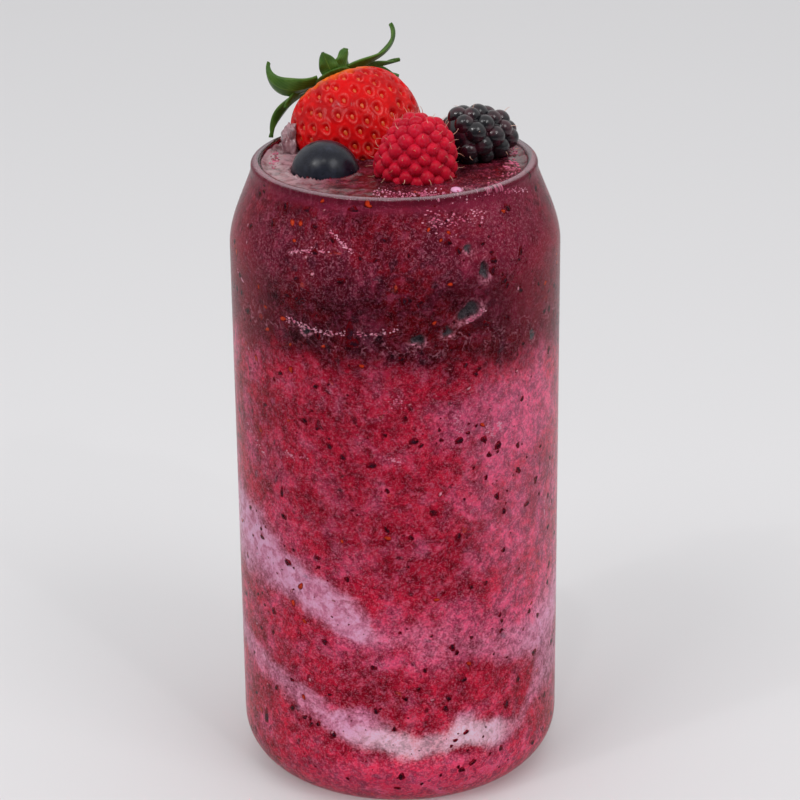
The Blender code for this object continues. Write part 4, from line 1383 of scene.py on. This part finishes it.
def foam_spots():
    """Degrees round, height and size share of each foam bubble against the glass."""
    draw = random.Random(31)
    spots = []
    for start, middle, end, spread, count in FOAM_LINES:
        for _ in range(count):
            share_along = draw.random()
            left = Vector(start).lerp(Vector(middle), share_along)
            right = Vector(middle).lerp(Vector(end), share_along)
            place = left.lerp(right, share_along)
            clump = 0.35 + 0.65 * abs(math.sin(9.0 * share_along + 40.0 * spread * 1000.0))
            off = draw.gauss(0.0, spread * clump)
            aside = math.degrees(draw.gauss(0.0, 0.6 * spread) / BODY_RADIUS)
            spots.append((place.x + aside, place.y + off, draw.uniform(0.3, 1.0) ** 1.6))
    for degrees, height, radius in FOAM_RINGS:
        for step in range(16):
            angle = 2.0 * math.pi * step / 16 + draw.uniform(-0.1, 0.1)
            aside = math.degrees(radius * math.cos(angle) / BODY_RADIUS)
            spots.append((degrees + aside, height + radius * math.sin(angle), draw.uniform(0.2, 0.5)))
    return spots


def make_foam(glass, drink, bits):
    """Tiny pale bubbles in lines and rings between the drink and the glass."""
    draw = random.Random(32)
    rows = []
    for degrees, height, portion in foam_spots():
        place, outward = wall_point(glass, drink, degrees, height)
        turn = outward.to_track_quat("Z", "Y").to_euler()
        size = bits.bubble * portion
        rows.append((place - outward * 0.00004, turn, (size * draw.uniform(0.9, 1.8), size, 0.5 * size)))
    bead = bead_shape("foam_bead", 8, 6)
    material = bit_material("foam", drink.crumb, (0.78, 0.40, 0.52), 0.5, 0.0, 420.0)
    item = on_points("foam_bubbles", rows, bead, material)
    discard(bead)
    return item


class SMOOTHIE_OT_bits(bpy.types.Operator):
    """Scatter the skins, pips, pale bits and foam that show through the glass"""

    bl_idname = "smoothie.bits"
    bl_label = "Seeds and Skins"

    def execute(self, context):
        scene = context.scene
        glass, drink, bits = scene.smoothie_glass, scene.smoothie_drink, scene.smoothie_bits
        skins, pips, pith = make_bits(glass, drink, bits)
        finish_piece(skins, "smoothie_dark")
        finish_piece(pips, "smoothie_dark")
        finish_piece(pith, "smoothie_pink")
        finish_piece(make_foam(glass, drink, bits), "smoothie_pink")
        finish_piece(surface_foam(drink, bits), "smoothie_pink")
        return {"FINISHED"}


# Strawberry

def strawberry_rings(berry, count):
    """Rings of the berry, from its leaves to its tip: (radius, distance along its axis)."""
    return even_points(berry_outline(berry.width, berry.shoulder, berry.nose,
                                     SHOULDER_SQUARENESS, NOSE_SHARPNESS), count)


def strawberry_frame(berry):
    stretch = Matrix.Diagonal((1.0, berry.depth / berry.width, 1.0, 1.0))
    return Matrix.Translation(STRAWBERRY_CENTRE) @ frame_along(STRAWBERRY_AXIS).to_4x4() @ stretch


def ring_point(rings, row, angle):
    """Place on the berry's skin at a row, which may be a fraction."""
    low = min(int(row), len(rings) - 2)
    ring = rings[low].lerp(rings[low + 1], row - low)
    return Vector((math.cos(angle) * ring.x, math.sin(angle) * ring.x, ring.y))


def seed_spots(berry):
    """Place, outward and lengthwise direction of each seed, a little off a triangle lattice."""
    rings = strawberry_rings(berry, SEED_ROWS + 1)
    frame_of = strawberry_frame(berry)
    step = 2.0 * math.pi / SEED_COLUMNS
    draw = random.Random(11)
    spots = []
    half = SEED_COLUMNS // 2
    for row in range(3, SEED_ROWS - 1):
        for column in range(-half, half + 1):
            if (column - row) % 3:
                continue
            angle = (column + 0.5 * row + draw.uniform(-0.28, 0.28)) * step
            place = row + draw.uniform(-0.25, 0.25)
            here = frame_of @ ring_point(rings, place, angle)
            ahead = frame_of @ ring_point(rings, place + 0.3, angle)
            aside = frame_of @ ring_point(rings, place, angle + 0.02)
            along = (ahead - here).normalized()
            outward = (aside - here).cross(here - ahead).normalized()
            if outward.dot(here - STRAWBERRY_CENTRE) < 0.0:
                outward.negate()
            spots.append((here, outward, along))
    return spots


def strawberry_material(berry):
    """Glossy red skin, with painted shade low down, pale rings round the seeds that are partly paler
    skin and partly painted highlight, and unripe under the leaves.
    """
    material, builder, output = new_material("strawberry_skin")
    place = builder.place()
    mottle = builder.noise(place, 190.0, 3.0, 0.6)
    tone = builder.mix(builder.ramp(mottle, 0.35, 0.65), berry.deep, berry.red)
    # Painted shade: the lower part of the berry laid over with deep red.
    tone = builder.laid(tone, builder.attribute("low"), 0.7, berry.deep)
    # Pale rings round the pits, partly paler skin and partly painted highlight, broken up by the gleam
    # noise.
    gleam = builder.ramp(builder.noise(place, 420.0, 2.0), 0.42, 0.66, 0.03, 0.30)
    tone = builder.mix(builder.times(builder.attribute("ring"), gleam), tone, berry.blush_and_glint)
    tone = builder.mix(builder.attribute("crown"), tone, berry.crown)
    skin = builder.bump(builder.noise(place, 1500.0, 2.0), 0.00005, 0.5)
    principled(builder, output, {
        "Base Color": tone, "Roughness": 0.24, "Specular IOR Level": 0.04, "Normal": skin,
        "Subsurface Weight": 0.04, "Subsurface Radius": (1.0, 0.08, 0.05), "Subsurface Scale": 0.0014,
        "Coat Weight": 0.14, "Coat Roughness": 0.05})
    return material


def pit_distances(berry, points):
    """How far each point is from the nearest seed, where 1 is the edge of the seed's teardrop pit."""
    spots = seed_spots(berry)
    finder = KDTree(len(spots))
    for index, (place, _, _) in enumerate(spots):
        finder.insert(place, index)
    finder.balance()
    off = np.full(len(points), 9.0)
    for index, point in enumerate(points):
        for place, spot, distance in finder.find_n(Vector(point), 2):
            if distance > PIT_REACH:
                continue
            along = (Vector(point) - place).dot(spots[spot][2])
            beside = math.sqrt(max(distance * distance - along * along, 0.0))
            taper = berry.pit_width * (1.0 - 0.22 * along / berry.pit_length)
            off[index] = min(off[index], math.hypot(along / berry.pit_length, beside / taper))
    return off


def make_strawberry(berry):
    """The berry's skin with a teardrop pit and a swollen rim at each seed."""
    profile = [(ring.x, ring.y) for ring in reversed(strawberry_rings(berry, 151))]
    item = turned("strawberry_body", profile, 288, strawberry_material(berry))
    heights = numpy_points(item.data)[:, 2]
    item.data.transform(strawberry_frame(berry))
    item.data.update()
    points = numpy_points(item.data)
    normals = numpy_normals(item.data)
    off = pit_distances(berry, points)
    pit = 1.0 - smoothstep(off, 0.15, 1.0)
    rim = np.exp(-((off - 1.35) / 0.38) ** 2)
    plump = PLUMPNESS * smoothstep(off, 1.0, 2.2)
    points += normals * (rim * berry.rim + plump - pit * berry.pit_depth)[:, None]
    set_points(item.data, points)
    # Ring round each pit, for the pale rings that are partly paler skin and partly painted highlight.
    set_attribute(item.data, "ring", np.exp(-((off - 1.14) / 0.15) ** 2))
    crown = smoothstep(heights, 0.72 * berry.shoulder, 1.02 * berry.shoulder)
    set_attribute(item.data, "crown", crown * 0.85)
    # Mask of the painted shade low on the berry.
    set_attribute(item.data, "low", smoothstep(-heights, -0.1 * berry.nose, 0.9 * berry.nose))
    return item


def make_strawberry_seeds(berry):
    rows = []
    draw = random.Random(17)
    for place, outward, along in seed_spots(berry):
        beside = outward.cross(along).normalized()
        along = beside.cross(outward)
        turn = Matrix((along, beside, outward)).transposed().to_euler()
        size = berry.seed * draw.uniform(0.85, 1.15)
        rows.append((place - outward * (berry.pit_depth - 0.00012), turn, (size, size, size)))
    pip = pip_shape("strawberry_pip")
    material = bit_material("strawberry_seeds", berry.seed_colour, (0.66, 0.11, 0.025), 0.25, 0.3)
    item = on_points("strawberry_seeds", rows, pip, material)
    discard(pip)
    return item


def sepal_point(sepal, along, across):
    """A point of a sepal, in the cap's frame: along is 0 to 1 and across is -1 to 1."""
    azimuth, reach, width, rise, curl, lateness, twist = sepal
    place = Vector((SEPAL_BASE_RADIUS, 0.0, 0.0))
    steps = SEPAL_SPINE_STEPS
    for step in range(steps):
        middle = (step + 0.5) / steps
        left = min(max(along * steps - step, 0.0), 1.0)
        lift = math.radians(rise + curl * middle ** lateness)
        place += Vector((math.cos(lift), 0.0, math.sin(lift))) * (left * reach / steps)
    lift = math.radians(rise + curl * along ** lateness)
    taper = (SEPAL_WAIST + SEPAL_BELLY * along) * max(1.0 - along, 0.0) ** SEPAL_POINT
    half_width = 0.5 * width * max(taper, SEPAL_TIP_SHARE)
    heading = Vector((math.cos(lift), 0.0, math.sin(lift)))
    roll = Matrix.Rotation(math.radians(twist * along), 3, heading)
    cup = SEPAL_CUP * width * across * across
    wave = SEPAL_WAVE * across * math.sin(2.0 * math.pi * SEPAL_WAVE_COUNT * along + azimuth)
    crease = -0.00016 * math.exp(-(across / 0.16) ** 2)
    up = Vector((-math.sin(lift), 0.0, math.cos(lift)))
    place += roll @ (Vector((0.0, across * half_width, 0.0)) + up * (cup + wave + crease))
    return Matrix.Rotation(math.radians(azimuth), 3, "Z") @ place


def leaf_material(berry):
    """Green leaf with a paler midrib and side veins along its own length."""
    material, builder, output = new_material("strawberry_leaf")
    apart = builder.apart(builder.add("ShaderNodeUVMap", uv_map="leaf").outputs[0])
    across = builder.math("ABSOLUTE", builder.less(apart["Y"], 0.5))
    slant = builder.line(across, -1.2, apart["X"])
    veins = builder.math("SINE", builder.times(slant, 46.0))
    side_vein = builder.times(builder.ramp(veins, 0.72, 1.0), 0.5)
    vein = builder.larger(builder.ramp(across, 0.055, 0.0), side_vein)
    edge = builder.times(builder.ramp(across, 0.44, 0.5), 0.55)
    mottle = builder.ramp(builder.noise(builder.place(), 420.0, 3.0), 0.35, 0.70)
    tone = builder.laid(berry.green, mottle, 0.30, berry.light_green)
    tone = builder.laid(tone, builder.larger(vein, edge), 0.55, berry.light_green)
    height = builder.line(builder.noise(builder.place(), 900.0, 2.0), 0.3, vein)
    principled(builder, output, {
        "Base Color": tone, "Roughness": 0.38, "Specular IOR Level": 0.22,
        "Subsurface Weight": 0.08, "Subsurface Radius": (0.4, 1.0, 0.2), "Subsurface Scale": 0.0006,
        "Normal": builder.bump(height, 0.00008, 0.6)})
    return material


def make_sepal(index, sepal, thickness):
    """One leaf: a fine wavy grid with its own lengthwise map, made solid."""
    shape = bmesh.new()
    bmesh.ops.create_grid(shape, x_segments=26, y_segments=8, size=1.0)
    layer = shape.loops.layers.uv.new("leaf")
    for face in shape.faces:
        for loop in face.loops:
            loop[layer].uv = (0.5 * (loop.vert.co.x + 1.0), 0.5 * (loop.vert.co.y + 1.0))
    for vertex in shape.verts:
        vertex.co = sepal_point(sepal, 0.5 * (vertex.co.x + 1.0), vertex.co.y)
    item = link(f"sepal_{index}", bmesh_to_mesh(f"sepal_{index}", shape))
    shell = item.modifiers.new("thicken", "SOLIDIFY")
    shell.thickness = thickness
    shell.offset = 1.0
    graph = bpy.context.evaluated_depsgraph_get()
    made = bpy.data.meshes.new_from_object(item.evaluated_get(graph))
    item.modifiers.clear()
    item.data = made
    return item


def make_calyx(berry):
    shape = bmesh.new()
    bmesh.ops.create_uvsphere(shape, u_segments=40, v_segments=12, radius=1.0)
    layer = shape.loops.layers.uv.new("leaf")
    for face in shape.faces:
        for loop in face.loops:
            loop[layer].uv = (loop.vert.co.x * 0.5 + 0.5, 0.25)
    bmesh.ops.scale(shape, verts=shape.verts, vec=(CAP_RADIUS, CAP_RADIUS, CAP_HEIGHT))
    pieces = [link("calyx_cap", bmesh_to_mesh("calyx_cap", shape))]
    pieces += [make_sepal(index, sepal, berry.leaf) for index, sepal in enumerate(SEPALS)]
    item = joined("strawberry_leaves", pieces)
    lift = berry.shoulder + CAP_HEIGHT + CAP_GAP
    centre = STRAWBERRY_CENTRE + STRAWBERRY_AXIS * lift
    item.data.transform(Matrix.Translation(centre) @ frame_along(STRAWBERRY_AXIS).to_4x4())
    item.data.materials.clear()
    item.data.materials.append(leaf_material(berry))
    item.data.shade_smooth()
    return item


class SMOOTHIE_OT_strawberry(bpy.types.Operator):
    """Make the pitted strawberry, its seeds and its leaves"""

    bl_idname = "smoothie.strawberry"
    bl_label = "Strawberry"

    def execute(self, context):
        berry = context.scene.smoothie_strawberry
        finish_piece(make_strawberry(berry), "strawberry_red", "strawberry")
        finish_piece(make_strawberry_seeds(berry), "strawberry_red")
        finish_piece(make_calyx(berry), "leaf_green", "strawberry_calyx")
        return {"FINISHED"}


# Raspberry and dark berry

def spiral_on(outline, count):
    """Points in a spiral from an outline's tip, at even steps of area, with their outward directions."""
    fine = even_points(outline, 200)
    areas = [0.0]
    for before, after in zip(fine, fine[1:]):
        areas.append(areas[-1] + (before.x + after.x) * (after - before).length)
    found = []
    index = 0
    for step in range(count):
        target = DRUPELET_COVER * areas[-1] * (step + 0.5) / count
        while areas[index + 1] < target:
            index += 1
        along = (fine[index + 1] - fine[index]).normalized()
        angle = step * GOLDEN_ANGLE
        ring = Vector((math.cos(angle), math.sin(angle), 0.0))
        place = ring * fine[index].x + Vector((0.0, 0.0, fine[index].y))
        outward = ring * -along.y + Vector((0.0, 0.0, along.x))
        found.append((place, outward.normalized()))
    return found


def drupelets(name, berry, bead_radius, material):
    """The core and its drupelets as one object, and each drupelet's top and outward direction."""
    radius, tip, base, tip_power, base_power = berry["outline"]
    inset = -CORE_INSET * bead_radius
    core_outline = berry_outline(radius + inset, tip + inset, base + inset, tip_power, base_power)
    profile = [(point.x, point.y) for point in reversed(even_points(core_outline, 24))]
    core = turned(name, profile, 48, material)
    spots = spiral_on(berry_outline(*berry["outline"]), berry["count"])
    rows = []
    for index, (place, outward) in enumerate(spots):
        size = 1.0 + DRUPELET_VARIATION * math.sin(DRUPELET_VARIATION_STEP * index)
        rows.append((place - outward * bead_radius, outward.to_track_quat("Z", "Y").to_euler(),
                     (size * DRUPELET_SWELL, size * DRUPELET_SWELL, size)))
    bead = bead_shape("bead", 20, 13)
    beads = on_points(name + "_beads", rows, bead, material, bead_radius)
    discard(bead)
    frame_of = Matrix.Translation(berry["centre"]) @ frame_along(berry["axis"]).to_4x4()
    item = joined(name, [core, beads])
    item.data.transform(frame_of)
    return item, [(frame_of @ place, frame_of.to_3x3() @ outward) for place, outward in spots]


def hairs_on(name, spots, reach, every, material, seed):
    """Dried hairs that stand on the drupelets."""
    draw = random.Random(seed)
    rows = []
    for place, outward in spots[::every]:
        lean = Vector((draw.uniform(-1, 1), draw.uniform(-1, 1), draw.uniform(-0.6, 1))) * 0.55
        heading = (outward + lean).normalized()
        spin = Matrix.Rotation(draw.uniform(0.0, 2.0 * math.pi), 3, "Z")
        turn = (heading.to_track_quat("Z", "Y").to_matrix() @ spin).to_euler()
        size = reach * draw.uniform(0.6, 1.1)
        rows.append((place - outward * 0.00025, turn, (size, size, size)))
    hair = hair_shape("hair")
    item = on_points(name, rows, hair, material)
    discard(hair)
    return item


def raspberry_material(settings):
    """Soft crimson drupelets with a patchy downy bloom."""
    material, builder, output = new_material("raspberry_skin")
    place = builder.place()
    mottle = builder.ramp(builder.noise(place, 320.0, 3.0), 0.35, 0.68)
    tone = builder.mix(mottle, settings.raspberry_red,
                       tuple(min(1.0, 1.35 * value) for value in settings.raspberry_red))
    down = builder.ramp(builder.noise(place, 1400.0, 3.0, 0.7), 0.50, 0.72)
    tone = builder.laid(tone, down, 0.18, settings.raspberry_bloom)
    principled(builder, output, {
        "Base Color": tone, "Roughness": 0.30, "Specular IOR Level": 0.10,
        "Subsurface Weight": 0.22, "Subsurface Radius": (1.0, 0.08, 0.14), "Subsurface Scale": 0.0013,
        "Sheen Weight": 0.02, "Sheen Roughness": 0.5, "Sheen Tint": (1.0, 0.55, 0.65, 1.0),
        "Normal": builder.bump(builder.noise(place, 1100.0, 3.0), 0.00013, 0.7)})
    return material


def dark_berry_material(settings):
    """Tight, glossy, nearly black drupelets."""
    material, builder, output = new_material("dark_berry_skin")
    place = builder.place()
    mottle = builder.ramp(builder.noise(place, 260.0, 2.0), 0.45, 0.70)
    tone = builder.mix(mottle, settings.dark_black, settings.dark_red)
    principled(builder, output, {
        "Base Color": tone, "Roughness": 0.26, "Specular IOR Level": 0.30,
        "Coat Weight": 0.34, "Coat Roughness": 0.04,
        "Normal": builder.bump(builder.noise(place, 800.0, 2.0), 0.00005, 0.5)})
    return material


def hair_material(settings):
    material, builder, output = new_material("dried_hairs")
    drift = builder.ramp(builder.noise(builder.place(), 500.0, 1.0), 0.35, 0.65)
    tone = builder.mix(drift, settings.hair_colour, (0.80, 0.52, 0.40))
    principled(builder, output, {"Base Color": tone, "Roughness": 0.5})
    return material


class SMOOTHIE_OT_drupelet_berries(bpy.types.Operator):
    """Make the raspberry and the dark berry from drupelets on a core, with their dried hairs"""

    bl_idname = "smoothie.drupelet_berries"
    bl_label = "Raspberry and Dark Berry"

    def execute(self, context):
        settings = context.scene.smoothie_berries
        hair = hair_material(settings)
        berry, spots = drupelets("raspberry_body", RASPBERRY, settings.raspberry_bead,
                                 raspberry_material(settings))
        finish_piece(berry, "raspberry_pink", "raspberry")
        finish_piece(hairs_on("raspberry_hairs", spots, settings.hair, 1, hair, 21), "raspberry_pink")
        berry, spots = drupelets("dark_berry_body", DARK_BERRY, settings.dark_bead,
                                 dark_berry_material(settings))
        finish_piece(berry, "dark_berry_black", "dark_berry")
        finish_piece(hairs_on("dark_berry_hairs", spots, settings.hair, 3, hair, 22), "dark_berry_black")
        return {"FINISHED"}


# Blueberry

def blueberry_material(settings):
    """Dark waxy skin with a thin uneven bloom."""
    material, builder, output = new_material("blueberry_skin")
    place = builder.place()
    cloud = builder.ramp(builder.noise(place, 150.0, 4.0, 0.6), 0.42, 0.72)
    rubbed = builder.ramp(builder.noise(place, 900.0, 3.0, 0.7), 0.30, 0.62)
    tone = builder.laid(settings.blue, cloud, rubbed, settings.bloom)
    rough = builder.ramp(cloud, 0.0, 1.0, 0.27, 0.42)
    principled(builder, output, {
        "Base Color": tone, "Roughness": rough, "Specular IOR Level": 0.26,
        "Normal": builder.bump(builder.noise(place, 1100.0, 3.0), 0.00003, 0.6)})
    return material


class SMOOTHIE_OT_blueberry(bpy.types.Operator):
    """Make the blueberry, a slightly flattened ball with faint dents"""

    bl_idname = "smoothie.blueberry"
    bl_label = "Blueberry"

    def execute(self, context):
        settings = context.scene.smoothie_berries
        shape = bmesh.new()
        bmesh.ops.create_uvsphere(shape, u_segments=96, v_segments=56, radius=settings.blueberry)
        for vertex in shape.verts:
            vertex.co *= 1.0 + BLUEBERRY_DENT * noise.noise(vertex.co * 140.0)
        bmesh.ops.scale(shape, verts=shape.verts, vec=(1.0, 1.0, BLUEBERRY_FLATNESS))
        tilt = Matrix.Rotation(BLUEBERRY_TILT, 4, "X")
        bmesh.ops.transform(shape, verts=shape.verts, matrix=Matrix.Translation(BLUEBERRY_CENTRE) @ tilt)
        item = link("blueberry_body", bmesh_to_mesh("blueberry_body", shape))
        item.data.materials.append(blueberry_material(settings))
        item.data.shade_smooth()
        finish_piece(item, "blueberry_blue", "blueberry")
        return {"FINISHED"}


# Stage

FLOOR_HALF_SIZE = 6.0
LIGHT_TARGET = Vector((0.0, 0.0, 0.09))
CAMERA_PLACE = (0.0, -0.60953, 0.33615)
CAMERA_DOWN = 0.3783
CAMERA_ROLL = -0.0112
CAMERA_LENS = 120.51
CAMERA_SHIFT = 3.14 / 800.0

# Lights: name, place, size, and the setting that gives the power
LIGHTS = (
    ("soft_right", (0.62, -0.62, 1.25), 0.50, "side_light"),
    ("soft_left", (-0.62, -0.62, 1.25), 0.50, "side_light"),
    ("spark_right", (0.52, -0.85, 1.00), 0.04, "spark"),
    ("spark_left", (-0.66, -0.50, 1.10), 0.04, "spark"),
    ("spark_middle", (-0.10, -0.55, 1.30), 0.04, "spark"),
)


def soft_light(name, place, size, power):
    light = bpy.data.lights.new(name, "AREA")
    light.size = size
    light.energy = power
    item = link(name, light)
    item.location = place
    item.rotation_euler = (LIGHT_TARGET - Vector(place)).to_track_quat("-Z", "Y").to_euler()


def floor_material(stage):
    material, builder, output = new_material("pale_floor")
    drift = builder.noise(builder.place(), 3.0, 2.0)
    tone = builder.mix(drift, stage.floor, tuple(0.985 * value for value in stage.floor))
    principled(builder, output, {"Base Color": tone, "Roughness": 0.65, "Specular IOR Level": 0.2})
    return material


def soft_air(stage):
    """Even light from all round, weaker from below and from straight ahead."""
    world = bpy.data.worlds.new("soft_air")
    world.use_nodes = True
    builder = Builder(world.node_tree)
    background = world.node_tree.nodes["Background"]
    apart = builder.apart(builder.add("ShaderNodeTexCoord").outputs["Generated"])
    strength = builder.ramp(apart["Z"], 0.02, 0.42, 0.58 * stage.air, 1.12 * stage.air)
    ahead = builder.times(apart["Y"], -1.0)
    shade = builder.both(builder.ramp(ahead, 0.30, 0.82), builder.ramp(apart["Z"], 0.92, 0.72))
    strength = builder.times(strength, builder.ramp(shade, 0.0, 1.0, 1.0, stage.front_air))
    builder.feed(background.inputs["Color"], (1.0, 1.0, 1.0))
    builder.feed(background.inputs["Strength"], strength)
    return world


def photo_camera():
    camera = link("camera", bpy.data.cameras.new("camera"))
    camera.data.sensor_width = 36.0
    camera.data.lens = CAMERA_LENS
    camera.data.shift_x = CAMERA_SHIFT
    camera.data.clip_start = 0.01
    turn = Matrix.Rotation(0.5 * math.pi - CAMERA_DOWN, 4, "X") @ Matrix.Rotation(CAMERA_ROLL, 4, "Z")
    camera.matrix_world = Matrix.Translation(CAMERA_PLACE) @ turn
    return camera


class SMOOTHIE_OT_stage(bpy.types.Operator):
    """Set the pale floor, the soft lights and the camera"""

    bl_idname = "smoothie.stage"
    bl_label = "Floor, Lights and Camera"

    def execute(self, context):
        stage = context.scene.smoothie_stage
        shape = bmesh.new()
        bmesh.ops.create_grid(shape, x_segments=1, y_segments=1, size=FLOOR_HALF_SIZE)
        floor = link("floor", bmesh_to_mesh("floor", shape))
        floor.data.materials.append(floor_material(stage))
        for name, place, size, power in LIGHTS:
            soft_light(name, place, size, getattr(stage, power))
        context.scene.world = soft_air(stage)
        context.scene.camera = photo_camera()
        context.scene.view_settings.view_transform = "Standard"
        return {"FINISHED"}


# Panel and registration

OPERATORS = (
    SMOOTHIE_OT_stage,
    SMOOTHIE_OT_glass,
    SMOOTHIE_OT_strawberry,
    SMOOTHIE_OT_drupelet_berries,
    SMOOTHIE_OT_blueberry,
    SMOOTHIE_OT_drink,
    SMOOTHIE_OT_bits,
)


class SMOOTHIE_PT_panel(bpy.types.Panel):
    """Lists the smoothie's pieces and settings"""

    bl_idname = "SMOOTHIE_PT_panel"
    bl_label = "Berry Smoothie"
    bl_space_type = "VIEW_3D"
    bl_region_type = "UI"
    bl_category = "Smoothie"

    def draw(self, context):
        for operator in OPERATORS:
            self.layout.operator(operator.bl_idname)
        for name, group in SETTINGS.items():
            box = self.layout.box()
            box.label(text=group.__doc__)
            for key in group.__annotations__:
                box.prop(getattr(context.scene, name), key)


CLASSES = (*SETTINGS.values(), *OPERATORS, SMOOTHIE_PT_panel)


def register():
    for item in CLASSES:
        bpy.utils.register_class(item)
    for name, group in SETTINGS.items():
        setattr(bpy.types.Scene, name, PointerProperty(type=group))


def unregister():
    for name in SETTINGS:
        delattr(bpy.types.Scene, name)
    for item in reversed(CLASSES):
        bpy.utils.unregister_class(item)


def main():
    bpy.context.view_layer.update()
    register()
    bpy.ops.smoothie.stage()
    bpy.ops.smoothie.glass()
    bpy.ops.smoothie.strawberry()
    bpy.ops.smoothie.drupelet_berries()
    bpy.ops.smoothie.blueberry()
    bpy.ops.smoothie.drink()
    bpy.ops.smoothie.bits()


if __name__ == "__main__":
    main()
